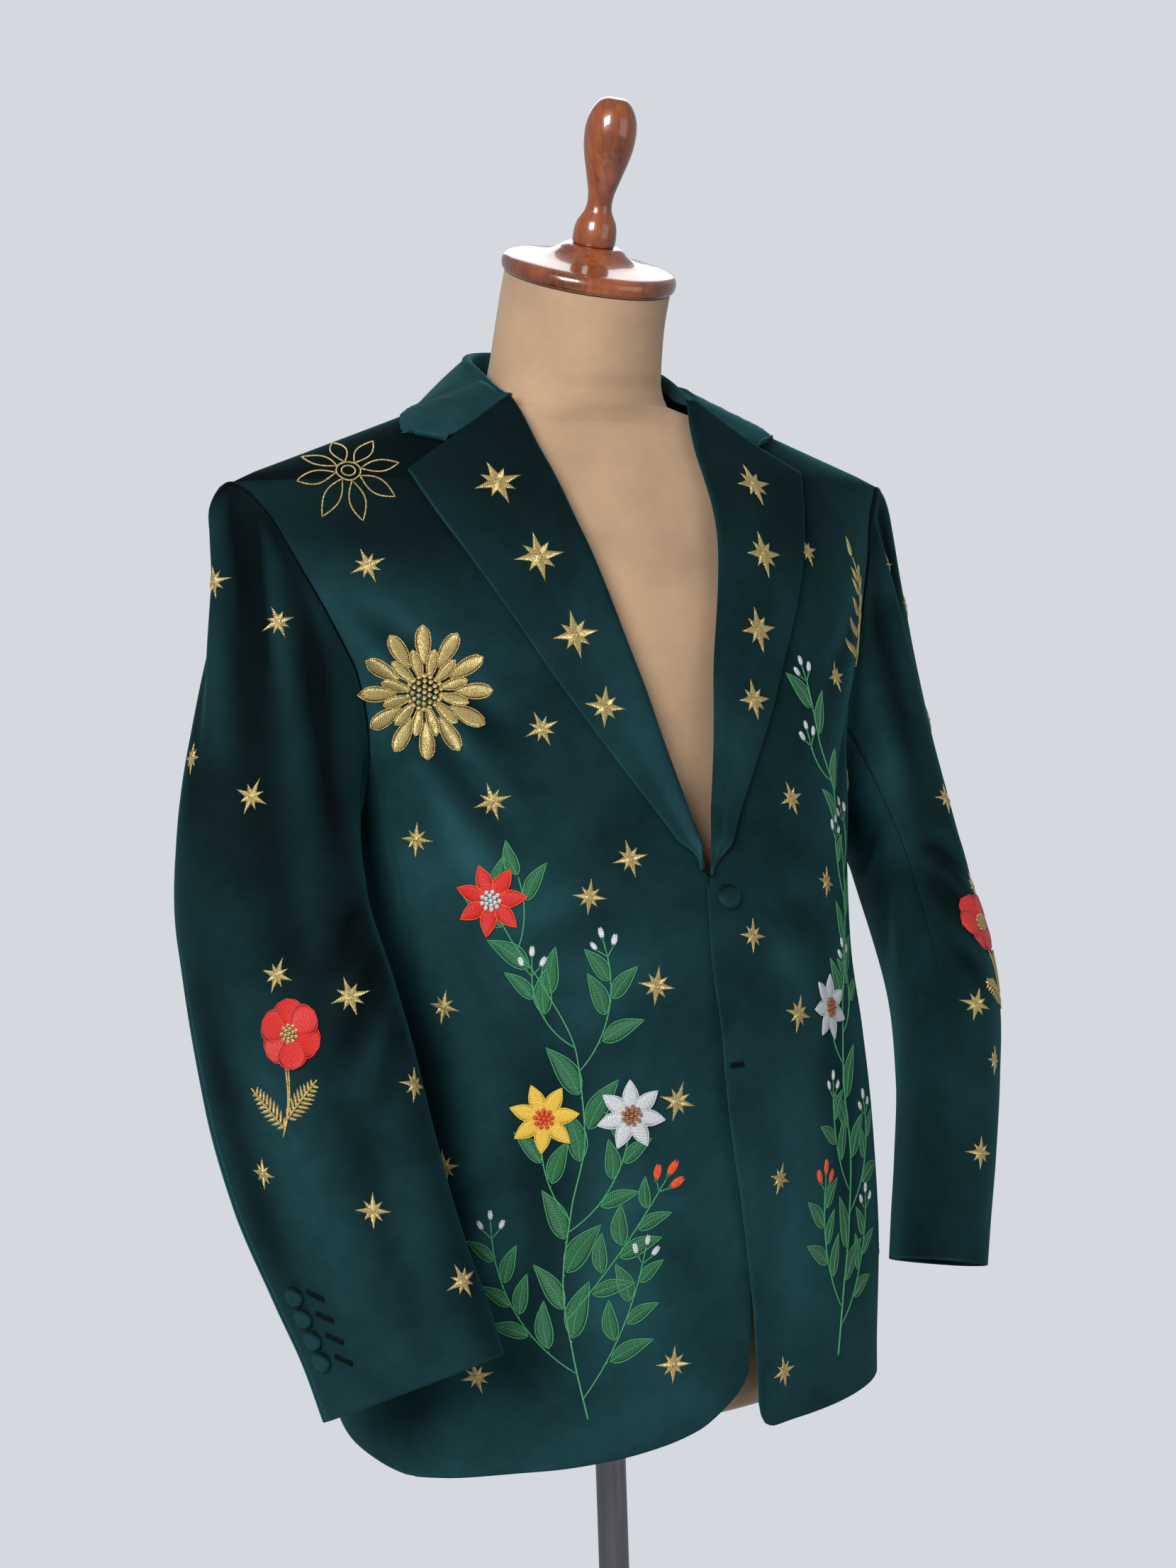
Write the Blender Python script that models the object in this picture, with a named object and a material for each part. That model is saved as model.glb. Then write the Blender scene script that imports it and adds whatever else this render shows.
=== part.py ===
"""Western suit jacket of embroidered velvet on a limbless dress form, at rest.

Metres, +Z up, the wearer faces -Y, and +X is the wearer's left. The origin is the centre of the base's underside.
"""
import math

import bpy
import numpy as np

# Cloth and seam sizes
WALL = 0.0025
LAPEL_WALL = 0.0024
SEAM = 0.00017
CLEAR = 0.0010
ROLL_RADIUS = 0.0042

# Jacket body as level rings: height, half width, depth in front, depth behind, roundness in front and behind
BODY = np.array([
    (0.770, 0.2020, 0.1620, 0.1400, 2.20, 2.20),
    (0.900, 0.2015, 0.1670, 0.1380, 2.20, 2.20),
    (1.000, 0.1962, 0.1700, 0.1230, 2.20, 2.20),
    (1.067, 0.1900, 0.1690, 0.1130, 2.20, 2.20),
    (1.120, 0.1865, 0.1630, 0.1080, 2.20, 2.20),
    (1.180, 0.1900, 0.1540, 0.1100, 2.20, 2.20),
    (1.220, 0.1965, 0.1450, 0.1150, 2.20, 2.20),
    (1.260, 0.2000, 0.1360, 0.1220, 2.20, 2.20),
    (1.300, 0.2080, 0.1265, 0.1280, 2.25, 2.15),
    (1.340, 0.2210, 0.1160, 0.1310, 2.25, 2.10),
    (1.380, 0.2380, 0.1080, 0.1310, 2.00, 2.00),
    (1.410, 0.2510, 0.1005, 0.1260, 1.75, 1.85),
    (1.440, 0.2600, 0.0875, 0.1140, 1.55, 1.70),
    (1.460, 0.2640, 0.0745, 0.1010, 1.50, 1.60),
    (1.470, 0.2390, 0.0670, 0.0930, 1.55, 1.60),
    (1.480, 0.2110, 0.0600, 0.0860, 1.60, 1.65),
    (1.500, 0.1540, 0.0500, 0.0760, 1.75, 1.80),
    (1.510, 0.1260, 0.0470, 0.0730, 1.85, 1.90),
    (1.520, 0.0985, 0.0450, 0.0710, 1.95, 2.00),
    (1.528, 0.0790, 0.0440, 0.0700, 2.00, 2.00),
])
NECK_Z = 1.528
TIP_Z = 1.460

# Armhole: height of its middle, half height, half widths to the front and back, and how far each leans down
ARM_Z, ARM_RISE, ARM_FRONT, ARM_BACK, ARM_LEAN = 1.3375, 0.1225, 0.050, 0.055, 0.5
ARM_LEAN_UNDER, ARM_LEAN_BEHIND = 0.1, 0.40

# Seams below the armhole, as the angle round from the centre front
SIDE_SEAM, BACK_SEAM = 1.23, 1.90

# Roll line of the lapel: height, distance from the centre
ROLL = np.array([
    (1.187, -0.0030), (1.198, -0.0012), (1.206, 0.0012), (1.214, 0.0038), (1.225, 0.0068),
    (1.240, 0.0108), (1.280, 0.0204), (1.320, 0.0288), (1.360, 0.0392), (1.400, 0.0494),
    (1.430, 0.0564), (1.460, 0.0605), (1.480, 0.0635), (1.500, 0.0670), (1.516, 0.0715), (1.530, 0.0735),
])
# Free edge of the lapel: height, distance from the centre
LAPEL_EDGE = np.array([
    (1.187, 0.0034), (1.194, 0.0082), (1.203, 0.0140), (1.230, 0.0310), (1.260, 0.0507), (1.300, 0.0759),
    (1.340, 0.0987), (1.380, 0.1206), (1.410, 0.1359), (1.440, 0.1497), (1.464, 0.1589),
])
LAPEL_TOP, LAPEL_TIP_Z = 1.5135, 1.464

# Front edges below the roll: height, distance from the centre towards the wearer's left
EDGE_LEFT = np.array([
    (0.790, 0.0175), (0.838, 0.0162), (0.900, 0.0127), (0.940, 0.0077), (0.980, 0.0018), (1.012, -0.0032),
    (1.054, -0.0070), (1.075, -0.0078), (1.100, -0.0076), (1.130, -0.0068), (1.161, -0.0050), (1.187, -0.0030),
])
EDGE_RIGHT = np.array([(0.790, 0.0130), (0.868, 0.0130), (1.187, 0.0155)])
# Hem: distance of a point from the front edge, and its height above the level hem, for the two front corners
CORNER_LEFT = np.array([(0.0, 0.019), (0.0014, 0.0095), (0.0045, 0.0035), (0.010, 0.0006), (0.022, 0.0), (0.4, 0.0)])
CORNER_RIGHT = np.array([
    (0.0, 0.072), (0.0012, 0.047), (0.0055, 0.034), (0.014, 0.022), (0.026, 0.0125), (0.046, 0.0062),
    (0.074, 0.0020), (0.110, 0.0), (0.4, 0.0),
])
HEM_Z = 0.812
# Hem: angle from the centre front, height on the left side and on the right side
HEM = np.array([
    (0.0, 0.8170, 0.8125), (0.50, 0.8165, 0.8085), (0.90, 0.8150, 0.8015), (1.20, 0.8145, 0.7990),
    (1.50, 0.8155, 0.8050), (1.80, 0.8180, 0.8160), (2.20, 0.8220, 0.8235), (math.pi, 0.8260, 0.8260),
])

# Sleeve rings: height, middle across, middle fore and aft, half depth, half width, turn inwards, slope up to the front
SLEEVE = np.array([
    (1.165, 0.2620, -0.0340, 0.0800, 0.0370, 22.0, 0.08),
    (1.120, 0.2615, -0.0550, 0.0820, 0.0365, 24.0, 0.14),
    (1.070, 0.2590, -0.0730, 0.0815, 0.0355, 26.0, 0.22),
    (1.010, 0.2500, -0.0860, 0.0780, 0.0340, 27.0, 0.30),
    (0.950, 0.2350, -0.0990, 0.0725, 0.0330, 26.0, 0.36),
    (0.910, 0.2230, -0.1080, 0.0695, 0.0325, 26.0, 0.40),
    (0.875, 0.2145, -0.1140, 0.0680, 0.0320, 26.0, 0.43),
])
# The left sleeve ends a little higher than the right one
LEFT_LIFT, LEFT_SLOPE, LEFT_DROP = 0.015, -0.18, 0.15
# How a sleeve leaves the armhole: eighths of a turn from the top over the front, then across, aft and up
LEAVE = np.array([
    (0.055, 0.006, -0.012), (0.036, -0.004, -0.030), (0.028, -0.006, -0.055), (0.030, -0.004, -0.040),
    (0.035, 0.000, -0.022), (0.030, 0.010, -0.040), (0.028, 0.014, -0.055), (0.052, 0.018, -0.024),
])
# How far the sleeve head stands out behind the shoulder point, from the armhole down to the first ring
HEAD = np.array([
    (0.0, 0.0), (0.08, 0.0050), (0.16, 0.0050), (0.26, -0.0020), (0.38, -0.0085), (0.55, -0.0065), (0.75, -0.0020),
    (1.0, 0.0),
])
FRONT_SEAM, ELBOW_SEAM = 2.05, 5.35

# Collar stations from the notch to the centre back: fold, middle of the fall, outer edge
FOLD = np.array([
    (0.0745, -0.0330, 1.5150), (0.0765, -0.0120, 1.5310), (0.0750, 0.0130, 1.5445), (0.0640, 0.0400, 1.5540),
    (0.0370, 0.0650, 1.5600), (0.0, 0.0745, 1.5620),
])
FALL_MID = np.array([
    (0.1255, -0.0420, 1.4812), (0.1150, -0.0230, 1.5045), (0.1050, 0.0060, 1.5255), (0.0870, 0.0450, 1.5330),
    (0.0500, 0.0770, 1.5370), (0.0, 0.0880, 1.5380),
])
FALL_EDGE = np.array([
    (0.1500, -0.0240, 1.4880), (0.1450, -0.0120, 1.5000), (0.1300, 0.0020, 1.5120), (0.1080, 0.0480, 1.5100),
    (0.0620, 0.0850, 1.5110), (0.0, 0.0965, 1.5110),
])

# Dress form rings: height, middle fore and aft, half width, depth in front, depth behind, roundness, lean forward
FORM = np.array([
    (0.822, 0.000, 0.1640, 0.1330, 0.1180, 2.2, 0.0),
    (0.826, 0.000, 0.1700, 0.1390, 0.1240, 2.2, 0.0),
    (0.840, 0.000, 0.1735, 0.1425, 0.1265, 2.2, 0.0),
    (0.900, 0.000, 0.1750, 0.1450, 0.1260, 2.2, 0.0),
    (1.000, 0.000, 0.1700, 0.1400, 0.1120, 2.2, 0.0),
    (1.110, 0.000, 0.1580, 0.1290, 0.0970, 2.2, 0.0),
    (1.200, 0.000, 0.1620, 0.1230, 0.1030, 2.2, 0.0),
    (1.300, 0.000, 0.1760, 0.1130, 0.1170, 2.1, 0.0),
    (1.370, 0.000, 0.1860, 0.1010, 0.1210, 2.0, 0.0),
    (1.420, 0.000, 0.1950, 0.0860, 0.1120, 1.8, 0.0),
    (1.445, 0.000, 0.2000, 0.0750, 0.1000, 1.7, 0.0),
    (1.462, 0.000, 0.2040, 0.0640, 0.0880, 1.65, 0.0),
    (1.472, 0.000, 0.2060, 0.0570, 0.0810, 1.65, 0.0),
    (1.4795, 0.000, 0.2030, 0.0520, 0.0750, 1.65, 0.0),
    (1.500, 0.000, 0.1400, 0.0440, 0.0660, 1.8, 1.0),
    (1.508, 0.000, 0.0980, 0.0470, 0.0640, 1.9, 2.0),
    (1.516, 0.000, 0.0700, 0.0510, 0.0620, 2.0, 4.0),
    (1.530, 0.000, 0.0640, 0.0550, 0.0600, 2.0, 8.0),
    (1.545, -0.003, 0.0615, 0.0580, 0.0590, 2.0, 13.0),
    (1.562, -0.0075, 0.0600, 0.0590, 0.0590, 2.0, 17.0),
    (1.582, -0.014, 0.0590, 0.0590, 0.0590, 2.0, 20.0),
    (1.6002, -0.0220, 0.0587, 0.0587, 0.0587, 2.0, 21.0),
])
# Neck cap and finial: distance along their axis, radius
CAP_Y, CAP_Z, CAP_LEAN = -0.0246, 1.6065, 21.0
CAP = np.array([
    (-0.0065, 0.0), (-0.0065, 0.0570), (-0.0058, 0.0592), (-0.0035, 0.0612), (0.0, 0.0617), (0.0030, 0.0611),
    (0.0052, 0.0590), (0.0062, 0.0560), (0.0075, 0.0480), (0.0092, 0.0380), (0.0115, 0.0300), (0.0150, 0.0240),
    (0.0180, 0.0200), (0.0188, 0.0180), (0.0188, 0.0),
])
FINIAL = np.array([
    (0.0, 0.0), (0.0, 0.0143), (0.0008, 0.0150), (0.0055, 0.0151), (0.0110, 0.0147), (0.0164, 0.0132),
    (0.0205, 0.0110), (0.0240, 0.0093), (0.0285, 0.0086), (0.0340, 0.0090), (0.0420, 0.0109), (0.0514, 0.0135),
    (0.0600, 0.0158), (0.0690, 0.0174), (0.0770, 0.0178), (0.0840, 0.0171), (0.0900, 0.0152), (0.0950, 0.0124),
    (0.0985, 0.0090), (0.0998, 0.0060), (0.1000, 0.0),
])
POLE_RADIUS = 0.011
BASE = np.array([
    (0.0, 0.0), (0.0, 0.172), (0.002, 0.175), (0.010, 0.175), (0.014, 0.171), (0.018, 0.120), (0.024, 0.045),
    (0.030, 0.024), (0.060, 0.0195), (0.0615, 0.018), (0.0615, 0.0),
])

# Buttons: radius and thickness, then where they sit
CUFF_BUTTON, FRONT_BUTTON = (0.0071, 0.0046), (0.0086, 0.0046)
CUFF_BUTTON_HEIGHTS = (0.9511, 0.9377, 0.9242, 0.9107)
CUFF_BUTTON_ANGLE = 5.82
BUTTON_Z = (1.1755, 1.0665)
BUTTON_X = (0.0104, 0.0060)


def look_up(table, at, column=1):
    """A smooth line through a table's rows, that keeps between its neighbours."""
    xs, ys = table[:, 0], table[:, column]
    i = int(np.clip(np.searchsorted(xs, at) - 1, 0, len(xs) - 2))
    at = min(max(at, xs[0]), xs[-1])
    step = np.diff(xs)
    rise = np.diff(ys) / step

    def slope(k):
        if k in (0, len(xs) - 1):
            return rise[min(k, len(rise) - 1)]
        a, b = rise[k - 1], rise[k]
        return 0.0 if a * b <= 0 else 2 * a * b / (a + b)

    h = step[i]
    t = (at - xs[i]) / h
    return (
        (2 * t**3 - 3 * t**2 + 1) * ys[i] + (t**3 - 2 * t**2 + t) * h * slope(i)
        + (3 * t**2 - 2 * t**3) * ys[i + 1] + (t**3 - t**2) * h * slope(i + 1)
    )


def ease(t):
    t = min(max(t, 0.0), 1.0)
    return t * t * (3 - 2 * t)


def ring(z):
    return [look_up(BODY, z, k) for k in range(1, 6)]


def body_point(angle, z):
    """A point on the jacket's outer face, angle 0 at the centre front and pi at the centre back."""
    half, front, back, n_front, n_back = ring(z)
    c, s = math.cos(angle), math.sin(angle)
    n = n_front if c > 0 else n_back
    across = math.copysign(half * abs(s) ** (2 / n), s)
    return np.array((across, -front * c ** (2 / n) if c > 0 else back * (-c) ** (2 / n), z))


def body_normal(angle, z):
    low, high = max(z - 0.004, BODY[0, 0]), min(z + 0.004, NECK_Z)
    round_ = body_point(angle + 0.04, z) - body_point(angle - 0.04, z)
    up = body_point(angle, high) - body_point(angle, low)
    n = np.cross(round_, up)
    return n / np.linalg.norm(n)


FACE_ANGLES = np.linspace(0.15, math.pi, 61)
FACE_HEIGHTS = np.concatenate([np.linspace(1.08, 1.42, 18), np.linspace(1.432, NECK_Z, 17)])
FACE = np.array([[body_point(a, z) for a in FACE_ANGLES] for z in FACE_HEIGHTS]).reshape(-1, 3)
FACE_NORMALS = np.array([[body_normal(a, z) for a in FACE_ANGLES] for z in FACE_HEIGHTS]).reshape(-1, 3)


def off_body(p, gap):
    """The point, moved out if need be to stand clear of the body's outer face."""
    mirrored = np.array((abs(p[0]), p[1], p[2]))
    apart = mirrored - FACE
    near = np.argsort((apart**2).sum(axis=1))[:4]
    out = min((apart[k].dot(FACE_NORMALS[k]), k) for k in near)
    if out[0] < gap and abs(out[0]) < 0.03:
        mirrored = mirrored + (gap - out[0]) * FACE_NORMALS[out[1]]
    return mirrored * np.array((math.copysign(1, p[0]), 1, 1))


def angle_at_x(x, z):
    half, _, _, n, _ = ring(z)
    return math.copysign(math.asin(min(abs(x) / half, 1.0) ** (n / 2)), x)


def angle_at_y(y, z):
    _, front, back, n_front, n_back = ring(z)
    if y < 0:
        return math.acos(min(-y / front, 1.0) ** (n_front / 2))
    return math.pi - math.acos(min(y / back, 1.0) ** (n_back / 2))


def armhole(turn):
    """Fore-and-aft and height of the armhole's edge: turn 0 at the top, a quarter in front, a half at the bottom."""
    c, s = math.cos(turn), math.sin(turn)
    lean = ARM_LEAN_BEHIND if s < 0 else ARM_LEAN if c > 0 else ARM_LEAN_UNDER
    return -(ARM_FRONT if s > 0 else ARM_BACK) * s * (1 - lean * c), ARM_Z + ARM_RISE * c


def armhole_angle(z, behind):
    turn = math.acos(min(max((z - ARM_Z) / ARM_RISE, -1), 1))
    return angle_at_y(armhole(-turn if behind else turn)[0], z)


def seam_height(angle, behind):
    """The height at which a seam meets the armhole."""
    low, high = ARM_Z - ARM_RISE, ARM_Z
    for _ in range(40):
        mid = (low + high) / 2
        open_ = armhole_angle(mid, behind) < angle if not behind else armhole_angle(mid, behind) > angle
        low, high = (low, mid) if open_ else (mid, high)
    return (low + high) / 2


SIDE_TOP = seam_height(SIDE_SEAM, False)
BACK_TOP = seam_height(BACK_SEAM, True)


def outer_angle(z, behind):
    """Where a front or back panel ends at its side: the seam, then the armhole, then the shoulder seam."""
    top = BACK_TOP if behind else SIDE_TOP
    if z < top:
        return BACK_SEAM if behind else SIDE_SEAM
    if z < TIP_Z:
        return armhole_angle(z, behind)
    return math.pi / 2


def over(x, z):
    """How far the left front lies out, over the right one."""
    lift = 0.0034 + 0.0052 * ease((1.15 - z) / 0.07) - 0.0030 * ease((1.02 - z) / 0.12)
    return lift * ease((0.052 - x) / 0.040) * ease((1.235 - z) / 0.03)


def front_edge(z, side):
    """Signed distance of a front's inner edge from the centre, measured towards its own side."""
    if z > 1.187:
        return look_up(ROLL, z) + ROLL_RADIUS + 0.0008 * ease((z - 1.47) / 0.03)
    edge = look_up(EDGE_LEFT if side > 0 else EDGE_RIGHT, z)
    return edge if side > 0 else -edge


def mirror(points, side):
    return points * np.array((side, 1, 1))


# Materials, one for each node
def material(name, colour, rough, metallic=0.0, sheen=0.0, coat=0.0):
    made = bpy.data.materials.new(name)
    made.use_nodes = True
    shader = made.node_tree.nodes["Principled BSDF"]
    shader.inputs["Base Color"].default_value = (*colour, 1)
    shader.inputs["Roughness"].default_value = rough
    shader.inputs["Metallic"].default_value = metallic
    shader.inputs["Sheen Weight"].default_value = sheen
    shader.inputs["Coat Weight"].default_value = coat
    made.diffuse_color = (*colour, 1)
    return made


def add(name, verts, faces, look, smooth=True):
    mesh = bpy.data.meshes.new(name)
    mesh.from_pydata([tuple(v) for v in verts], [], faces)
    mesh.validate()
    corners = np.array([[verts[f[0]], verts[f[k]], verts[f[k + 1]]] for f in faces for k in range(1, len(f) - 1)])
    if np.linalg.det(corners).sum() < 0:
        mesh.flip_normals()
    obj = bpy.data.objects.new(name, mesh)
    bpy.context.scene.collection.objects.link(obj)
    mesh.materials.append(material(f"{name} look", **look))
    for face in mesh.polygons:
        face.use_smooth = smooth
    return obj


def sheet(name, outer, inner, look):
    """A wall between two grids of points, closed along its four edges."""
    rows, cols = outer.shape[:2]
    verts = np.concatenate([outer.reshape(-1, 3), inner.reshape(-1, 3)])
    size = rows * cols
    faces = []
    for i in range(rows - 1):
        for j in range(cols - 1):
            a, b = i * cols + j, (i + 1) * cols + j
            faces.append((a, a + 1, b + 1, b))
            faces.append((size + a, size + b, size + b + 1, size + a + 1))
    loop = [j for j in range(cols)] + [i * cols + cols - 1 for i in range(1, rows)]
    loop += [(rows - 1) * cols + j for j in range(cols - 2, -1, -1)] + [i * cols for i in range(rows - 2, 0, -1)]
    for k, a in enumerate(loop):
        b = loop[(k + 1) % len(loop)]
        faces.append((b, a, size + a, size + b))
    return add(name, verts, faces, look)


def lathe(name, profile, look, steps, place=None):
    """A turned solid about +Z, moved by place."""
    inside = [(h, r) for h, r in profile if r > 0]
    verts = [(0, 0, inside[0][0]), (0, 0, inside[-1][0])]
    for h, r in inside:
        for k in range(steps):
            t = 2 * math.pi * k / steps
            verts.append((r * math.cos(t), r * math.sin(t), h))
    faces = []
    for k in range(steps):
        m = (k + 1) % steps
        faces.append((0, 2 + m, 2 + k))
        top = 2 + (len(inside) - 1) * steps
        faces.append((1, top + k, top + m))
        for i in range(len(inside) - 1):
            a, b = 2 + i * steps, 2 + (i + 1) * steps
            faces.append((a + k, a + m, b + m, b + k))
    verts = np.array(verts, float)
    return add(name, verts if place is None else place(verts), faces, look)


VELVET = dict(colour=(0.010, 0.036, 0.040), rough=0.85, sheen=0.6)
LINEN = dict(colour=(0.55, 0.40, 0.26), rough=0.9)
WOOD = dict(colour=(0.22, 0.055, 0.012), rough=0.25, coat=0.8)
STEEL = dict(colour=(0.16, 0.16, 0.17), rough=0.3, metallic=1.0)
IRON = dict(colour=(0.03, 0.03, 0.033), rough=0.45)


# Fronts, sides and back
FRONT_COLS = (0, 0.012, 0.045, 0.11, 0.21, 0.33, 0.47, 0.61, 0.75, 0.88, 1)
ROWS = (
    0.812, 0.860, 0.930, 1.000, 1.064, 1.120, 1.160, 1.187, 1.203, 1.240, 1.280, 1.320, 1.360, 1.400, 1.430,
    1.452, 1.460, 1.472, 1.486, 1.500, 1.514, 1.5278,
)
FRONT_ROWS = sorted(ROWS + (1.195, 1.213, 1.226))


def hem_height(angle, side):
    return look_up(HEM, angle, 1 if side > 0 else 2)


def build_front(side):
    corner = CORNER_LEFT if side > 0 else CORNER_RIGHT
    outer, inner = [], []
    for z_row in FRONT_ROWS:
        row, back = [], []
        for c in FRONT_COLS:
            x_hem = front_edge(HEM_Z, side) + c * 0.20
            low = hem_height(angle_at_x(min(x_hem, 0.183), HEM_Z), side) + look_up(corner, c * 0.20) - HEM_Z
            z = z_row + low * (1 - ease((z_row - HEM_Z) / 0.36))
            first = angle_at_x(front_edge(z, side), z)
            last = outer_angle(z, False)
            angle = first + c * (last - first)
            p, n = body_point(angle, z), body_normal(angle, z)
            if c == 1:
                t = np.cross(n, (0, 0, 1))
                p = p + SEAM * t / np.linalg.norm(t)
            if side > 0:
                p = p + n * over(p[0], z)
            if c == 1 and z >= TIP_Z - 0.0005:
                p = np.array((p[0], -0.0002, p[2]))
                n = np.array((n[0], 0, n[2]))
            elif p[1] > -0.0002:
                p[1] = -0.0002
            row.append(p)
            back.append(p - WALL * n)
        outer.append(row)
        inner.append(back)
    name = "front_left" if side > 0 else "front_right"
    sheet(name, mirror(np.array(outer), side), mirror(np.array(inner), side), VELVET)


def build_back(side):
    outer, inner = [], []
    for z_row in ROWS:
        row, back = [], []
        for c in np.linspace(0, 1, 8):
            low = hem_height(BACK_SEAM + c * (math.pi - BACK_SEAM), side) - HEM_Z
            z = z_row + low * (1 - ease((z_row - HEM_Z) / 0.36))
            first = outer_angle(z, True)
            angle = first + c * (math.pi - first)
            p, n = body_point(angle, z), body_normal(angle, z)
            if c == 0:
                t = np.cross((0, 0, 1), n)
                p = p + SEAM * t / np.linalg.norm(t)
            if c == 0 and z >= TIP_Z - 0.0005:
                p = np.array((p[0], 0.0002, p[2]))
                n = np.array((n[0], 0, n[2]))
            elif p[1] < 0.0002 and z > SIDE_TOP:
                p[1] = 0.0002
            if c == 1:
                p = p + np.array((SEAM, 0, 0))
            row.append(p)
            back.append(p - WALL * n)
        outer.append(row)
        inner.append(back)
    name = "back_left" if side > 0 else "back_right"
    sheet(name, mirror(np.array(outer), side), mirror(np.array(inner), side), VELVET)


def armhole_height(angle):
    """The height of the armhole's lower edge at an angle between the two side seams."""
    low, high = 0.5 * math.pi, 1.5 * math.pi
    for _ in range(40):
        mid = (low + high) / 2
        y, z = armhole(mid)
        low, high = (low, mid) if angle_at_y(y, z) > angle else (mid, high)
    return armhole((low + high) / 2)[1]


def build_side(side):
    outer, inner = [], []
    tops = [armhole_height(a) for a in np.linspace(SIDE_SEAM, BACK_SEAM, 9)]
    tops[0], tops[-1] = SIDE_TOP, BACK_TOP
    for up in (0, 0.13, 0.25, 0.36, 0.48, 0.60, 0.70, 0.79, 0.88, 0.95, 1):
        row, back = [], []
        for k, c in enumerate(np.linspace(0, 1, 9)):
            angle = SIDE_SEAM + c * (BACK_SEAM - SIDE_SEAM)
            foot = hem_height(angle, side)
            z = foot + up * (tops[k] - foot)
            p, n = body_point(angle, z), body_normal(angle, z)
            t = np.cross((0, 0, 1), n)
            t = t / np.linalg.norm(t)
            if k in (0, 8):
                p = p + (SEAM + 0.0003) * (t if k == 0 else -t)
            row.append(p)
            back.append(p - WALL * n)
        outer.append(row)
        inner.append(back)
    name = "side_left" if side > 0 else "side_right"
    sheet(name, mirror(np.array(outer), side), mirror(np.array(inner), side), VELVET)


# Lapels
def front_point(x, z):
    """A point on the front at a distance from the centre, with its normal."""
    angle = angle_at_x(x, z)
    return body_point(angle, z), body_normal(angle, z)


CURL = ((0.12, -0.52), (0.66, -0.42), (1.0, 0.12), (0.90, 0.70), (0.45, 1.18))
LAPEL_COLS = (0.02, 0.10, 0.22, 0.38, 0.56, 0.74, 0.88, 1)
LAPEL_ROWS = 15
# At its lower end a lapel lies flat on its front
FLAT = ((1.0, 0.50), (0.86, 0.58), (0.72, 0.72), (0.58, 0.92), (0.45, 1.18))

RIGHT_TUCK = np.array([(1.190, 0.0072), (1.198, 0.0052), (1.206, 0.0036), (1.214, 0.0020), (1.240, 0.0)])


def lapel_row(t, side):
    """One row of a lapel's face, from the curl at its roll line to its free edge; t runs from the button to the gorge."""
    bottom = 1.190 if side > 0 else 1.1945
    z_in = bottom + t * (LAPEL_TOP - bottom)
    z_out = bottom + t * (LAPEL_TIP_Z - bottom)
    x_in = look_up(ROLL, z_in)
    if side < 0:
        x_in = max(x_in, look_up(RIGHT_TUCK, z_in))
    x_out = max(look_up(LAPEL_EDGE, z_out), x_in + ROLL_RADIUS + 0.002)
    a, na = front_point(x_in + ROLL_RADIUS, z_in)
    b, _ = front_point(x_out, z_out)
    inward = a - b
    inward -= na * inward.dot(na)
    inward /= np.linalg.norm(inward)
    lift = over(a[0], z_in) if side > 0 else 0.0
    flat = 1 - ease((z_in - (1.222 if side < 0 else 1.194)) / (0.02 if side < 0 else 0.012))
    row = []
    for (u, v), (flat_u, flat_v) in zip(CURL, FLAT):
        u, v = u + (flat_u - u) * flat, v + (flat_v - v) * flat
        row.append(a + na * (lift + v * ROLL_RADIUS + 0.0010) + inward * u * ROLL_RADIUS)
    for c in LAPEL_COLS:
        x, z = x_in + ROLL_RADIUS + c * (x_out - x_in - ROLL_RADIUS), z_in + c * (z_out - z_in)
        p, n = front_point(x, z)
        lift = over(p[0], z) if side > 0 else 0.0
        gap = 0.0012 + 0.0008 * (1 - ease((z_in - 1.22) / 0.04)) + 0.0030 * (1 - ease(c / 0.6))
        row.append(p + n * (lift + LAPEL_WALL + gap))
    return np.array(row)


def build_lapel(side):
    outer = np.array([lapel_row((i / (LAPEL_ROWS - 1)) ** 1.15, side) for i in range(LAPEL_ROWS)])
    inner = outer - LAPEL_WALL * grid_normals(outer)
    name = "lapel_left" if side > 0 else "lapel_right"
    sheet(name, mirror(outer, side), mirror(inner, side), VELVET)


def grid_normals(grid):
    along = np.gradient(grid, axis=0)
    across = np.gradient(grid, axis=1)
    n = np.cross(across, along)
    return n / np.linalg.norm(n, axis=2, keepdims=True)


# Collar
def station(table, u):
    """A point on a collar guide, u 0 at the notch and 1 at the centre back."""
    keys = np.linspace(0, 1, len(table))
    stacked = np.column_stack([keys, table])
    return np.array([look_up(stacked, u, k) for k in (1, 2, 3)])


COLLAR_STEPS = 13
FALL_COLS = (0.16, 0.36, 0.58, 0.80, 1)
NOTCH = 0.60


def gorge_row():
    """The collar's front edge: along the lapel's top edge to the notch, then out to the collar's tip."""
    top = lapel_row(1, 1)
    across = np.linspace(0, 1, 400)
    lengths = np.concatenate([[0], np.cumsum(np.linalg.norm(np.diff(top, axis=0), axis=1))])
    full = np.array([[np.interp(a * lengths[-1], lengths, top[:, k]) for k in range(3)] for a in across])
    curl = lengths[len(CURL)]
    end = (curl + NOTCH * (lengths[-1] - curl)) / lengths[-1]
    keep = np.concatenate([np.linspace(0, 0.75 * curl / lengths[-1], 6), np.linspace(curl / lengths[-1], end, 3)])
    row = [full[int(round(a * 399))] for a in keep]
    tip = FALL_EDGE[0]
    row += [row[-1] * (1 - c) + tip * c for c in (0.3, 0.65, 1)]
    onward = top[8] - lapel_row(0.96, 1)[8]
    return np.array(row) + 0.0021 * onward / np.linalg.norm(onward)


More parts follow.
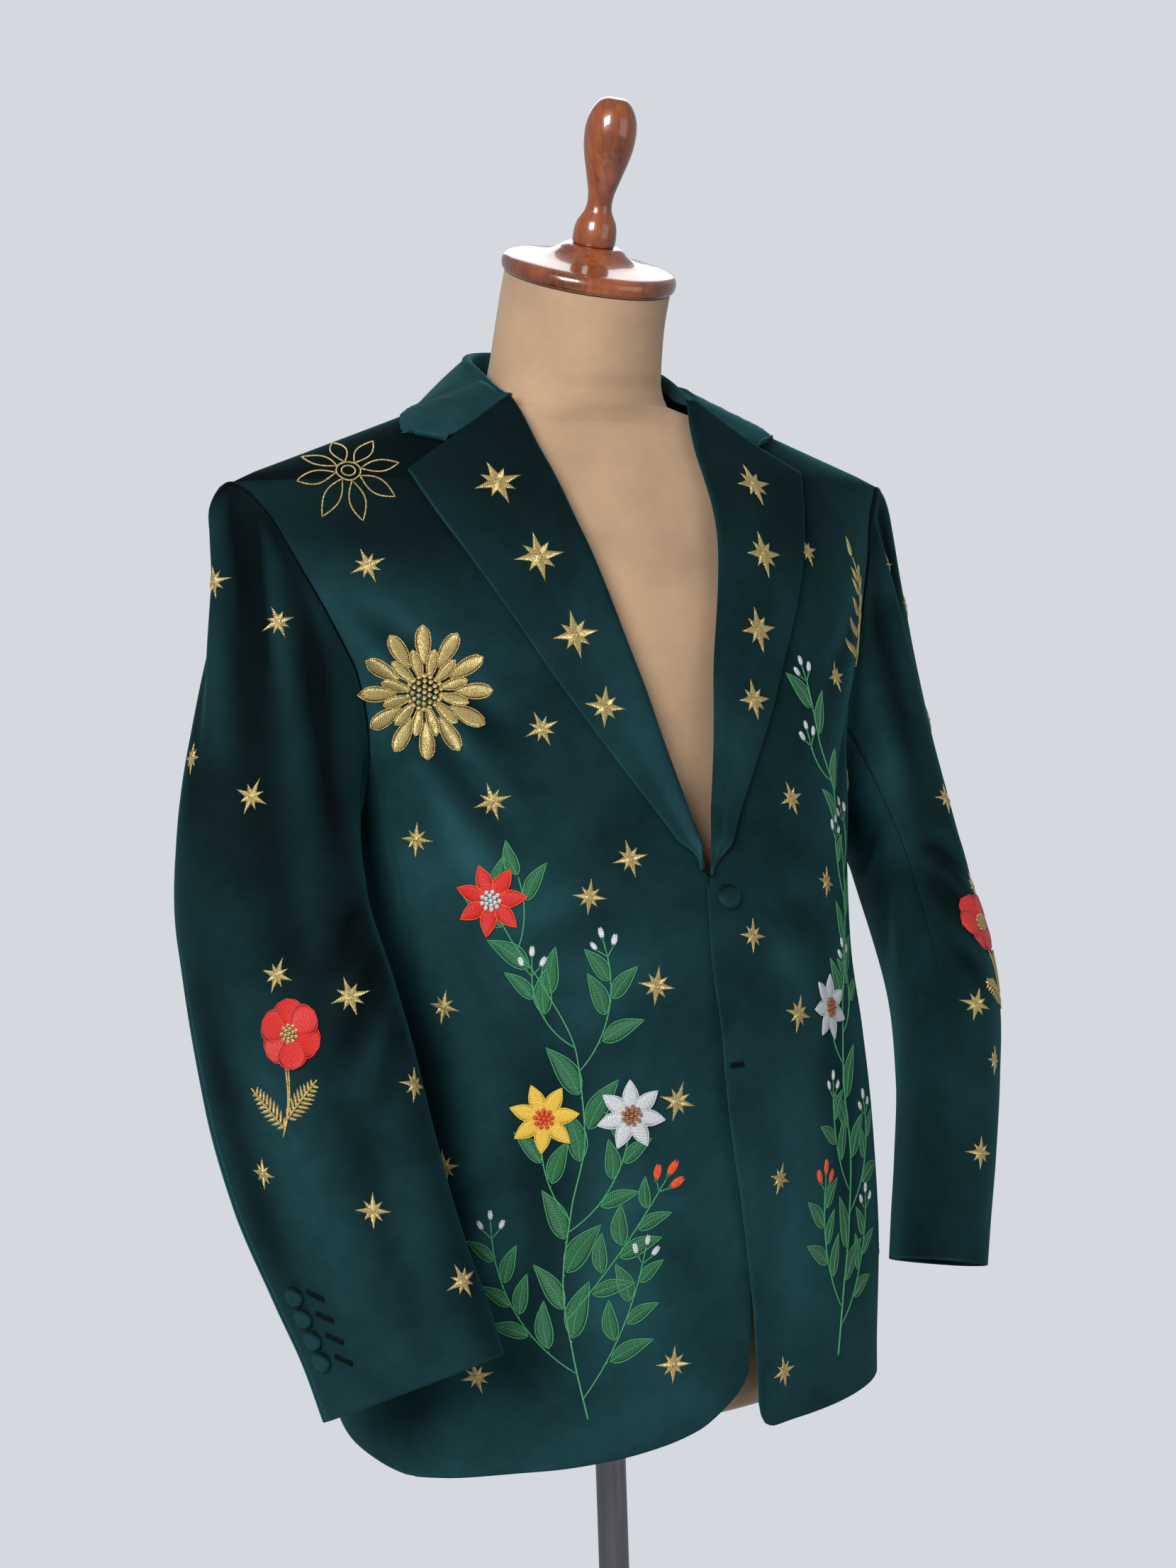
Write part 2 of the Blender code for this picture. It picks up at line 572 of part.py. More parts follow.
def collar_row(u):
    fold, mid, edge = (station(table, u) for table in (FOLD, FALL_MID, FALL_EDGE))
    outward = np.array((mid[0] - fold[0], mid[1] - fold[1], 0))
    outward /= np.linalg.norm(outward)
    radius = 0.0042
    low = 0.0012 + 0.0275 * ease(u / 0.75)
    centre = fold - np.array((0, 0, radius))
    low = min(low, max(centre[2] - NECK_Z - 0.0013, 0.004))
    row = [centre - outward * (radius + 0.0005) - np.array((0, 0, low * k)) for k in (1, 0.5)]
    for turn in (180, 135, 90, 45):
        t = math.radians(turn)
        row.append(centre + outward * radius * math.cos(t) + np.array((0, 0, radius * math.sin(t))))
    start = centre + outward * radius
    for c in (0,) + FALL_COLS:
        p = (1 - c) ** 2 * start + c * c * edge + 2 * c * (1 - c) * (2 * mid - (start + edge) / 2)
        row.append(p)
    row = np.array(row)
    if u < 0.2:
        w = ease(u / 0.2)
        row = row * w + gorge_row() * (1 - w)
    for k in range(6, 12):
        row[k] = off_body(row[k], LAPEL_WALL + (0.0012 if u else 0.0008))
    return row


def build_collar():
    half = np.array([collar_row(i / (COLLAR_STEPS - 1)) for i in range(COLLAR_STEPS)])
    other = half[::-1][1:] * np.array((-1, 1, 1))
    outer = np.concatenate([half, other])
    inner = outer - LAPEL_WALL * grid_normals(outer)
    sheet("collar", outer, inner, VELVET)


# Sleeves
def sleeve_ring(z, turn, side):
    """A point on a sleeve ring: turn 0 outside, a quarter in front, a half inside."""
    x, y, deep, wide, twist, slope = (look_up(SLEEVE[::-1], z, k) for k in range(1, 7))
    c, s = math.cos(turn), math.sin(turn)
    n = 2 / 2.25
    out, fore = math.copysign(wide * abs(c) ** n, c), math.copysign(deep * abs(s) ** n, s)
    t = math.radians(twist)
    low = max((SLEEVE[0, 0] - z) / (SLEEVE[0, 0] - SLEEVE[-1, 0]), 0.0) if side > 0 else 0.0
    return np.array((
        x + out * math.cos(t) - fore * math.sin(t),
        y - out * math.sin(t) - fore * math.cos(t),
        z + LEFT_LIFT * low**1.5 + (slope + LEFT_SLOPE * low) * fore - LEFT_DROP * low * out,
    ))


def sleeve_start(turn):
    """The armhole's edge on the body with the body's normal."""
    y, z = armhole(turn)
    angle = angle_at_y(y, z)
    return body_point(angle, z), body_normal(angle, z)


SPLIT = 0.45


def sleeve_point(turn, s, side):
    """s 0 at the armhole, 1 at the cuff."""
    top = SLEEVE[0, 0]
    if s >= SPLIT:
        return sleeve_ring(top + (s - SPLIT) / (1 - SPLIT) * (SLEEVE[-1, 0] - top), turn, side)
    h = s / SPLIT
    a, n = sleeve_start(turn)
    b = sleeve_ring(top, turn, side)
    down = (sleeve_ring(top - 0.01, turn, side) - b) * 100
    eighth = (turn / (math.pi / 4)) % 8
    k, part = int(eighth), ease(eighth - int(eighth))
    leave = LEAVE[k] * (1 - part) + LEAVE[(k + 1) % 8] * part
    a = a + n * CLEAR + leave / np.linalg.norm(leave) * 0.0004
    land = down * np.linalg.norm(b - a)
    p = (
        (2 * h**3 - 3 * h**2 + 1) * a + (h**3 - 2 * h**2 + h) * leave
        + (3 * h**2 - 2 * h**3) * b + (h**3 - h**2) * land
    )
    out = look_up(HEAD, h) * max(math.cos(turn + 0.8), 0.0) ** 1.5
    p = p + out * np.array((0.8, 0.6, 0))
    return p if h < 0.02 else off_body(p, 0.0009 + 0.0030 * ease(h / 0.3))


def sleeve_normal(turn, s, side):
    across = sleeve_point(turn + 0.04, s, side) - sleeve_point(turn - 0.04, s, side)
    down = sleeve_point(turn, min(s + 0.01, 1), side) - sleeve_point(turn, max(s - 0.01, 0), side)
    n = np.cross(across, down)
    return n / np.linalg.norm(n)


SLEEVE_ROWS = (0, 0.022, 0.05, 0.09, 0.14, 0.20, 0.27, 0.35, 0.44, 0.53, 0.62, 0.71, 0.80, 0.90, 1)


def build_sleeve(side):
    gap = 0.0042
    spans = {
        "top": np.linspace(ELBOW_SEAM - 2 * math.pi + gap, FRONT_SEAM - gap, 13),
        "under": np.linspace(FRONT_SEAM + gap, ELBOW_SEAM - gap, 13),
    }
    for part, turns in spans.items():
        outer = np.array([[sleeve_point(t, s, side) for t in turns] for s in SLEEVE_ROWS])
        inner = outer - WALL * np.array([[sleeve_normal(t, s, side) for t in turns] for s in SLEEVE_ROWS])
        name = f"{part}_sleeve_{'left' if side > 0 else 'right'}"
        sheet(name, mirror(outer, side), mirror(inner, side), VELVET)


# Buttons
def button(name, centre, normal, size):
    radius, thick = size
    profile = [(0, 0), (0, 0.88), (0.35, 1), (0.70, 0.90), (0.93, 0.60), (1, 0.25), (1, 0)]
    profile = np.array([(h * thick, r * radius) for h, r in profile])
    normal = normal / np.linalg.norm(normal)
    side = np.cross(normal, (0, 0, 1))
    side /= np.linalg.norm(side)
    up = np.cross(side, normal)
    frame = np.array((side, up, normal))
    lathe(name, profile, VELVET, 12, lambda v: v @ frame + centre)


def build_buttons():
    for side, label in ((1, "left"), (-1, "right")):
        for k, z in enumerate(CUFF_BUTTON_HEIGHTS):
            s = SPLIT + (1 - SPLIT) * (SLEEVE[0, 0] - z) / (SLEEVE[0, 0] - SLEEVE[-1, 0])
            turn = CUFF_BUTTON_ANGLE
            p = sleeve_point(turn, s, side)
            n = sleeve_normal(turn, s, side)
            p, n = mirror(p + n * 0.0006, side), mirror(n, side)
            button(f"cuff_button_{label}_{k + 1}", p, n, CUFF_BUTTON)
    for k, (x, z) in enumerate(zip(BUTTON_X, BUTTON_Z)):
        p, n = front_point(x, z)
        lift = over(x, z) + 0.0006 if k == 0 else 0.0005
        button(("front_button_upper", "front_button_lower")[k], p + n * lift, n, FRONT_BUTTON)


# Dress form
def build_form():
    steps = 32
    verts, faces = [], []
    for z, mid, half, front, back, n, lean in FORM:
        t = math.radians(lean)
        for k in range(steps):
            a = 2 * math.pi * k / steps
            c, s = math.cos(a), math.sin(a)
            x = math.copysign(half * abs(s) ** (2 / n), s)
            y = -front * c ** (2 / n) if c > 0 else back * (-c) ** (2 / n)
            verts.append((x, mid + y * math.cos(t), z + y * math.sin(t)))
    rows = len(FORM)
    for i in range(rows - 1):
        for k in range(steps):
            m = (k + 1) % steps
            faces.append((i * steps + k, i * steps + m, (i + 1) * steps + m, (i + 1) * steps + k))
    foot, top = len(verts), len(verts) + 1
    verts.append((0, 0, FORM[0, 0]))
    verts.append((0, FORM[-1, 1], FORM[-1, 0]))
    for k in range(steps):
        m = (k + 1) % steps
        faces.append((foot, m, k))
        faces.append((top, (rows - 1) * steps + k, (rows - 1) * steps + m))
    add("form_torso", np.array(verts), faces, LINEN)


def neck_axis(points, along):
    """Points made about +Z, leant forward with the neck, with their foot at a distance along the neck's axis."""
    t = math.radians(CAP_LEAN)
    turn = np.array(((1, 0, 0), (0, math.cos(t), math.sin(t)), (0, -math.sin(t), math.cos(t))))
    return (points + np.array((0, 0, along))) @ turn + np.array((0, CAP_Y, CAP_Z))


for obj in list(bpy.data.objects):
    bpy.data.objects.remove(obj)

for side in (1, -1):
    build_front(side)
    build_back(side)
    build_side(side)
    build_lapel(side)
    build_sleeve(side)
build_collar()
build_buttons()
build_form()
lathe("neck_cap", CAP, WOOD, 28, lambda v: neck_axis(v, 0))
lathe("finial", FINIAL, WOOD, 18, lambda v: neck_axis(v, CAP[-1, 0] + 0.0003))
lathe("pole", np.array([(0.0618, 0), (0.0618, POLE_RADIUS), (0.8217, POLE_RADIUS), (0.8217, 0)]), STEEL, 24)
lathe("base", BASE, IRON, 32)
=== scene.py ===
"""Embroidered velvet western jacket on a dress form: cloth with its creases, sewing, wood, linen and studio.

Metres, +Z up, the wearer faces -Y, and +X is the wearer's left.
"""
import bisect
import math
import random

import bpy
import numpy as np
from mathutils import Matrix, Vector
from mathutils.bvhtree import BVHTree
from mathutils.kdtree import KDTree


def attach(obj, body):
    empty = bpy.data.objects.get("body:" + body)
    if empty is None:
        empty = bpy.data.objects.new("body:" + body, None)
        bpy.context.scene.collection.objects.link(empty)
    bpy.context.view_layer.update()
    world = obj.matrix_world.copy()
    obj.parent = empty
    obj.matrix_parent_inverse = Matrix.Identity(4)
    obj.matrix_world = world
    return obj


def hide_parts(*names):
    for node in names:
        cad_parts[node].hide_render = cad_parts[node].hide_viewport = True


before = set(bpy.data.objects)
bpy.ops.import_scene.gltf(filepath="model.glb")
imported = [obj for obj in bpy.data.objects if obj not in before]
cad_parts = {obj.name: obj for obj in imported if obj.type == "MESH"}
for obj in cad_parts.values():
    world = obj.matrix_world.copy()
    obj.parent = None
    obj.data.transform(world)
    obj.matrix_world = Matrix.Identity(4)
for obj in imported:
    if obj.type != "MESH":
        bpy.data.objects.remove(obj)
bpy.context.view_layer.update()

# Camera, fitted to the photograph
AZIMUTH, DISTANCE, HEIGHT = math.radians(-31.0), 1.7675, 1.3379
PITCH, ROLL_ANGLE, LENS = math.radians(-2.944), math.radians(-1.913), 56.82

# Cloth and seam sizes
WALL = 0.0025
LAPEL_WALL = 0.0024
SEAM = 0.00017
CLEAR = 0.0010
ROLL_RADIUS = 0.0042
# Depth of a seam's dip, its width as a share of a panel, and half the gap of a shoulder seam
SEAM_DIP, SEAM_WIDE, SHOULDER_GAP = 0.0007, 0.022, 0.0002
SIDE_NAME = {1: "left", -1: "right"}
UP = np.array((0, 0, 1.0))
# Height at which the lapels' roll lines start
BREAK_Z = 1.187

# Jacket body as level rings: height, half width, depth in front, depth behind, roundness in front and behind
BODY = np.array([
    (0.770, 0.2020, 0.1620, 0.1400, 2.20, 2.20),
    (0.900, 0.2015, 0.1670, 0.1380, 2.20, 2.20),
    (1.000, 0.1962, 0.1700, 0.1230, 2.20, 2.20),
    (1.067, 0.1900, 0.1690, 0.1130, 2.20, 2.20),
    (1.120, 0.1865, 0.1630, 0.1080, 2.20, 2.20),
    (1.180, 0.1900, 0.1540, 0.1100, 2.20, 2.20),
    (1.220, 0.1965, 0.1450, 0.1150, 2.20, 2.20),
    (1.260, 0.2000, 0.1360, 0.1220, 2.20, 2.20),
    (1.300, 0.2080, 0.1265, 0.1280, 2.25, 2.15),
    (1.340, 0.2210, 0.1160, 0.1310, 2.25, 2.10),
    (1.380, 0.2380, 0.1080, 0.1310, 2.00, 2.00),
    (1.410, 0.2510, 0.1005, 0.1260, 1.75, 1.85),
    (1.440, 0.2600, 0.0875, 0.1140, 1.55, 1.70),
    (1.460, 0.2640, 0.0745, 0.1010, 1.50, 1.60),
    (1.470, 0.2390, 0.0670, 0.0930, 1.55, 1.60),
    (1.480, 0.2110, 0.0600, 0.0860, 1.60, 1.65),
    (1.500, 0.1540, 0.0500, 0.0760, 1.75, 1.80),
    (1.510, 0.1260, 0.0470, 0.0730, 1.85, 1.90),
    (1.520, 0.0985, 0.0450, 0.0710, 1.95, 2.00),
    (1.528, 0.0790, 0.0440, 0.0700, 2.00, 2.00),
])
NECK_Z = 1.528
TIP_Z = 1.460

# Armhole: height of its middle, half height, half widths to the front and back, and how far each leans down
ARM_Z, ARM_RISE, ARM_FRONT, ARM_BACK, ARM_LEAN = 1.3375, 0.1225, 0.050, 0.055, 0.5
ARM_LEAN_UNDER, ARM_LEAN_BEHIND = 0.1, 0.40

# Seams below the armhole, as the angle round from the centre front
SIDE_SEAM, BACK_SEAM = 1.23, 1.90

# Roll line of the lapel: height, distance from the centre
ROLL = np.array([
    (1.187, -0.0030), (1.198, -0.0012), (1.206, 0.0012), (1.214, 0.0038), (1.225, 0.0068),
    (1.240, 0.0108), (1.280, 0.0204), (1.320, 0.0288), (1.360, 0.0392), (1.400, 0.0494),
    (1.430, 0.0564), (1.460, 0.0605), (1.480, 0.0635), (1.500, 0.0670), (1.516, 0.0715), (1.530, 0.0735),
])
# Free edge of the lapel: height, distance from the centre
LAPEL_EDGE = np.array([
    (1.187, 0.0034), (1.194, 0.0082), (1.203, 0.0140), (1.230, 0.0310), (1.260, 0.0507), (1.300, 0.0759),
    (1.340, 0.0987), (1.380, 0.1206), (1.410, 0.1359), (1.440, 0.1497), (1.464, 0.1589),
])
LAPEL_TOP, LAPEL_TIP_Z = 1.5135, 1.464

# Front edges below the roll: height, distance from the centre towards the wearer's left
EDGE_LEFT = np.array([
    (0.790, 0.0175), (0.838, 0.0162), (0.900, 0.0127), (0.940, 0.0077), (0.980, 0.0018), (1.012, -0.0032),
    (1.054, -0.0070), (1.075, -0.0078), (1.100, -0.0076),
    (1.130, -0.0068), (1.161, -0.0050), (1.187, -0.0030),
])
EDGE_RIGHT = np.array([(0.790, 0.0130), (0.868, 0.0130), (1.187, 0.0155)])
# Hem: distance of a point from the front edge, and its height above the level hem, for the two front corners
CORNER_LEFT = np.array([
    (0.0, 0.019), (0.0014, 0.0095), (0.0045, 0.0035), (0.010, 0.0006), (0.022, 0.0), (0.4, 0.0),
])
CORNER_RIGHT = np.array([
    (0.0, 0.072), (0.0012, 0.047), (0.0055, 0.034), (0.014, 0.022), (0.026, 0.0125), (0.046, 0.0062),
    (0.074, 0.0020), (0.110, 0.0), (0.4, 0.0),
])
# The level hem's height, and how far above it the rows are level too
HEM_Z, HEM_LEVELS = 0.812, 0.36
# Hem: angle from the centre front, height on the left side and on the right side
HEM = np.array([
    (0.0, 0.8170, 0.8125), (0.50, 0.8165, 0.8085), (0.90, 0.8150, 0.8015), (1.20, 0.8145, 0.7990),
    (1.50, 0.8155, 0.8050), (1.80, 0.8180, 0.8160), (2.20, 0.8220, 0.8235), (math.pi, 0.8260, 0.8260),
])

# Sleeve rings: height, middle across and fore and aft, half depth and width, turn inwards, slope to the front
SLEEVE = np.array([
    (1.165, 0.2620, -0.0340, 0.0800, 0.0370, 22.0, 0.08),
    (1.120, 0.2615, -0.0550, 0.0820, 0.0365, 24.0, 0.14),
    (1.070, 0.2590, -0.0730, 0.0815, 0.0355, 26.0, 0.22),
    (1.010, 0.2500, -0.0860, 0.0780, 0.0340, 27.0, 0.30),
    (0.950, 0.2350, -0.0990, 0.0725, 0.0330, 26.0, 0.36),
    (0.910, 0.2230, -0.1080, 0.0695, 0.0325, 26.0, 0.40),
    (0.875, 0.2145, -0.1140, 0.0680, 0.0320, 26.0, 0.43),
])
SLEEVE_UP = SLEEVE[::-1]
# The left sleeve ends a little higher than the right one
LEFT_LIFT, LEFT_SLOPE, LEFT_DROP = 0.015, -0.18, 0.15
# How a sleeve leaves the armhole: eighths of a turn from the top over the front, then across, aft and up
LEAVE = np.array([
    (0.055, 0.006, -0.012), (0.036, -0.004, -0.030), (0.028, -0.006, -0.055), (0.030, -0.004, -0.040),
    (0.035, 0.000, -0.022), (0.030, 0.010, -0.040), (0.028, 0.014, -0.055), (0.052, 0.018, -0.024),
])
# How far the sleeve head stands out behind the shoulder point, from the armhole down to the first ring
HEAD = np.array([
    (0.0, 0.0), (0.08, 0.0050), (0.16, 0.0050), (0.26, -0.0020),
    (0.38, -0.0085), (0.55, -0.0065), (0.75, -0.0020),
    (1.0, 0.0),
])
HEAD_WAY = np.array((0.8, 0.6, 0))
# Share of a sleeve's length at which its head ends and its rings begin
SPLIT = 0.45
FRONT_SEAM, ELBOW_SEAM = 2.05, 5.35

# Collar stations from the notch to the centre back: fold, middle of the fall, outer edge
FOLD = np.array([
    (0.0745, -0.0330, 1.5150), (0.0765, -0.0120, 1.5310), (0.0750, 0.0130, 1.5445), (0.0640, 0.0400, 1.5540),
    (0.0370, 0.0650, 1.5600), (0.0, 0.0745, 1.5620),
])
FALL_MID = np.array([
    (0.1255, -0.0420, 1.4812), (0.1150, -0.0230, 1.5045), (0.1050, 0.0060, 1.5255), (0.0870, 0.0450, 1.5330),
    (0.0500, 0.0770, 1.5370), (0.0, 0.0880, 1.5380),
])
FALL_EDGE = np.array([
    (0.1500, -0.0240, 1.4880), (0.1450, -0.0120, 1.5000), (0.1300, 0.0020, 1.5120), (0.1080, 0.0480, 1.5100),
    (0.0620, 0.0850, 1.5110), (0.0, 0.0965, 1.5110),
])

# Dress form rings: height, middle fore and aft, half width, depths in front and behind, roundness, lean
FORM = np.array([
    (0.822, 0.000, 0.1640, 0.1330, 0.1180, 2.2, 0.0),
    (0.826, 0.000, 0.1700, 0.1390, 0.1240, 2.2, 0.0),
    (0.840, 0.000, 0.1735, 0.1425, 0.1265, 2.2, 0.0),
    (0.900, 0.000, 0.1750, 0.1450, 0.1260, 2.2, 0.0),
    (1.000, 0.000, 0.1700, 0.1400, 0.1120, 2.2, 0.0),
    (1.110, 0.000, 0.1580, 0.1290, 0.0970, 2.2, 0.0),
    (1.200, 0.000, 0.1620, 0.1230, 0.1030, 2.2, 0.0),
    (1.300, 0.000, 0.1760, 0.1130, 0.1170, 2.1, 0.0),
    (1.370, 0.000, 0.1860, 0.1010, 0.1210, 2.0, 0.0),
    (1.420, 0.000, 0.1950, 0.0860, 0.1120, 1.8, 0.0),
    (1.445, 0.000, 0.2000, 0.0750, 0.1000, 1.7, 0.0),
    (1.462, 0.000, 0.2040, 0.0640, 0.0880, 1.65, 0.0),
    (1.472, 0.000, 0.2060, 0.0570, 0.0810, 1.65, 0.0),
    (1.4795, 0.000, 0.2030, 0.0520, 0.0750, 1.65, 0.0),
    (1.500, 0.000, 0.1400, 0.0440, 0.0660, 1.8, 1.0),
    (1.508, 0.000, 0.0980, 0.0470, 0.0640, 1.9, 2.0),
    (1.516, 0.000, 0.0700, 0.0510, 0.0620, 2.0, 4.0),
    (1.530, 0.000, 0.0640, 0.0550, 0.0600, 2.0, 8.0),
    (1.545, -0.003, 0.0615, 0.0580, 0.0590, 2.0, 13.0),
    (1.562, -0.0075, 0.0600, 0.0590, 0.0590, 2.0, 17.0),
    (1.582, -0.014, 0.0590, 0.0590, 0.0590, 2.0, 20.0),
    (1.6002, -0.0220, 0.0587, 0.0587, 0.0587, 2.0, 21.0),
])
# Neck cap and finial: distance along their axis, radius
CAP_Y, CAP_Z, CAP_LEAN = -0.0246, 1.6065, 21.0
CAP = np.array([
    (-0.0065, 0.0), (-0.0065, 0.0570), (-0.0058, 0.0592), (-0.0035, 0.0612), (0.0, 0.0617), (0.0030, 0.0611),
    (0.0052, 0.0590), (0.0062, 0.0560), (0.0075, 0.0480),
    (0.0092, 0.0380), (0.0115, 0.0300), (0.0150, 0.0240),
    (0.0180, 0.0200), (0.0188, 0.0180), (0.0188, 0.0),
])
FINIAL = np.array([
    (0.0, 0.0), (0.0, 0.0143), (0.0008, 0.0150), (0.0055, 0.0151), (0.0110, 0.0147), (0.0164, 0.0132),
    (0.0205, 0.0110), (0.0240, 0.0093), (0.0285, 0.0086),
    (0.0340, 0.0090), (0.0420, 0.0109), (0.0514, 0.0135),
    (0.0600, 0.0158), (0.0690, 0.0174), (0.0770, 0.0178),
    (0.0840, 0.0171), (0.0900, 0.0152), (0.0950, 0.0124),
    (0.0985, 0.0090), (0.0998, 0.0060), (0.1000, 0.0),
])
POLE_RADIUS = 0.011
BASE = np.array([
    (0.0, 0.0), (0.0, 0.172), (0.002, 0.175), (0.010, 0.175), (0.014, 0.171), (0.018, 0.120), (0.024, 0.045),
    (0.030, 0.024), (0.060, 0.0195), (0.0615, 0.018), (0.0615, 0.0),
])

# Buttons: radius and thickness, then where they sit
CUFF_BUTTON, FRONT_BUTTON = (0.0071, 0.0046), (0.0086, 0.0046)
# A button's rounding as shares of its thickness and radius
BUTTON_PROFILE = (
    (0, 0.90), (0.12, 0.97), (0.35, 1), (0.58, 0.955), (0.74, 0.86), (0.87, 0.70), (0.95, 0.48), (1, 0.22),
)
CUFF_BUTTON_HEIGHTS = (0.9511, 0.9377, 0.9242, 0.9107)
CUFF_BUTTON_ANGLE = 5.82
BUTTON_Z = (1.1755, 1.0665)
BUTTON_X = (0.0104, 0.0060)

CURVES = {}


def curve(table, column):
    """A table column's steps, values and slopes, worked out once."""
    key = (id(table), column)
    if key not in CURVES:
        xs, ys = ([float(v) for v in table[:, k]] for k in (0, column))
        rise = [(ys[k + 1] - ys[k]) / (xs[k + 1] - xs[k]) for k in range(len(xs) - 1)]
        slopes = [0.0 if a * b <= 0 else 2 * a * b / (a + b) for a, b in zip(rise, rise[1:])]
        CURVES[key] = (xs, ys, [rise[0], *slopes, rise[-1]], table)
    return CURVES[key]


def hermite(t, start, leave, end, land):
    """A smooth run from start to end with the slopes at which it leaves and lands, t from 0 to 1."""
    return (
        (2 * t**3 - 3 * t**2 + 1) * start + (t**3 - 2 * t**2 + t) * leave
        + (3 * t**2 - 2 * t**3) * end + (t**3 - t**2) * land
    )


def look_up(table, at, column=1):
    """A smooth line through a table's rows, that keeps between its neighbours."""
    xs, ys, slopes, _ = curve(table, column)
    i = min(max(bisect.bisect_left(xs, at) - 1, 0), len(xs) - 2)
    at = min(max(at, xs[0]), xs[-1])
    h = xs[i + 1] - xs[i]
    return hermite((at - xs[i]) / h, ys[i], h * slopes[i], ys[i + 1], h * slopes[i + 1])


def ease(t):
    t = min(max(t, 0.0), 1.0)
    return t * t * (3 - 2 * t)


def ease_between(at, low, high):
    return ease((at - low) / (high - low))


def cross(a, b):
    return np.array((a[1] * b[2] - a[2] * b[1], a[2] * b[0] - a[0] * b[2], a[0] * b[1] - a[1] * b[0]))


def unit(v):
    return v / max(math.sqrt(v.dot(v)), 1e-9)


def oval(half, front, back, n_front, n_back, angle):
    """A point across and fore and aft on a ring, angle 0 at the centre front and pi at the centre back."""
    c, s = math.cos(angle), math.sin(angle)
    power = 2 / (n_front if c > 0 else n_back)
    return math.copysign(half * abs(s) ** power, s), -front * c**power if c > 0 else back * (-c) ** power


def ring(z):
    return [look_up(BODY, z, k) for k in range(1, 6)]


def body_point(angle, z):
    """A point on the jacket's outer face."""
    return np.array((*oval(*ring(z), angle), z))


def body_normal(angle, z):
    low, high = max(z - 0.004, BODY[0, 0]), min(z + 0.004, NECK_Z)
    across = body_point(angle + 0.04, z) - body_point(angle - 0.04, z)
    return unit(cross(across, body_point(angle, high) - body_point(angle, low)))


FACE_ANGLES = np.linspace(0.15, math.pi, 61)
FACE_HEIGHTS = np.concatenate([np.linspace(1.08, 1.42, 18), np.linspace(1.432, NECK_Z, 17)])
FACE = [(body_point(a, z), body_normal(a, z)) for z in FACE_HEIGHTS for a in FACE_ANGLES]
FACE_TREE = KDTree(len(FACE))
for place, (at, _) in enumerate(FACE):
    FACE_TREE.insert(at, place)
FACE_TREE.balance()


def off_body(p, gap):
    """The point, moved out if need be to stand clear of the body's outer face."""
    mirrored = np.array((abs(p[0]), p[1], p[2]))
    out = min(((mirrored - FACE[k][0]).dot(FACE[k][1]), k) for _, k, _ in FACE_TREE.find_n(mirrored, 4))
    if out[0] < gap and abs(out[0]) < 0.03:
        mirrored = mirrored + (gap - out[0]) * FACE[out[1]][1]
    return mirrored * np.array((math.copysign(1, p[0]), 1, 1))


def angle_at_x(x, z):
    half, _, _, n, _ = ring(z)
    return math.copysign(math.asin(min(abs(x) / half, 1.0) ** (n / 2)), x)


def angle_at_y(y, z):
    _, front, back, n_front, n_back = ring(z)
    if y < 0:
        return math.acos(min(-y / front, 1.0) ** (n_front / 2))
    return math.pi - math.acos(min(y / back, 1.0) ** (n_back / 2))


def armhole(turn):
    """Where the armhole's edge lies fore and aft and its height, turn 0 at the top and a quarter in front."""
    c, s = math.cos(turn), math.sin(turn)
    lean = ARM_LEAN_BEHIND if s < 0 else ARM_LEAN if c > 0 else ARM_LEAN_UNDER
    return -(ARM_FRONT if s > 0 else ARM_BACK) * s * (1 - lean * c), ARM_Z + ARM_RISE * c


def armhole_angle(z, behind):
    turn = math.acos(min(max((z - ARM_Z) / ARM_RISE, -1), 1))
    return angle_at_y(armhole(-turn if behind else turn)[0], z)


def halve(low, high, is_low):
    """The place between low and high where a test stops being true."""
    for _ in range(40):
        mid = (low + high) / 2
        low, high = (mid, high) if is_low(mid) else (low, mid)
    return (low + high) / 2


def seam_height(angle, behind):
    """The height at which a seam meets the armhole."""
    way = 1 if behind else -1
    return halve(ARM_Z - ARM_RISE, ARM_Z, lambda z: way * armhole_angle(z, behind) <= way * angle)


SIDE_TOP = seam_height(SIDE_SEAM, False)
BACK_TOP = seam_height(BACK_SEAM, True)


def outer_angle(z, behind):
    """Where a front or back panel ends at its side: the seam, then the armhole, then the shoulder seam."""
    top = BACK_TOP if behind else SIDE_TOP
    if z < top:
        return BACK_SEAM if behind else SIDE_SEAM
    if z < TIP_Z:
        return armhole_angle(z, behind)
    return math.pi / 2


def over(x, z):
    """How far the left front lies out, over the right one."""
    lift = 0.0034 + 0.0052 * ease((1.15 - z) / 0.07) - 0.0030 * ease((1.02 - z) / 0.12)
    return lift * ease((0.052 - x) / 0.040) * ease((1.235 - z) / 0.03)


def front_edge(z, side):
    """Signed distance of a front's inner edge from the centre, measured towards its own side."""
    if z > BREAK_Z:
        return look_up(ROLL, z) + ROLL_RADIUS + 0.0008 * ease((z - 1.47) / 0.03)
    return look_up(EDGE_LEFT, z) if side > 0 else -look_up(EDGE_RIGHT, z)


def mirror(points, side):
    return points * np.array((side, 1, 1))


def hem_height(angle, side):
    return look_up(HEM, angle, 1 if side > 0 else 2)


# Lapel curl at its roll line, and how it lies flat at its lower end
CURL = ((0.12, -0.52), (0.66, -0.42), (1.0, 0.12), (0.90, 0.70), (0.45, 1.18))
FLAT = ((1.0, 0.50), (0.86, 0.58), (0.72, 0.72), (0.58, 0.92), (0.45, 1.18))
# Least distance of the right lapel's roll from the centre, near its foot: height, distance
RIGHT_TUCK = np.array([(1.190, 0.0072), (1.198, 0.0052), (1.206, 0.0036), (1.214, 0.0020), (1.240, 0.0)])
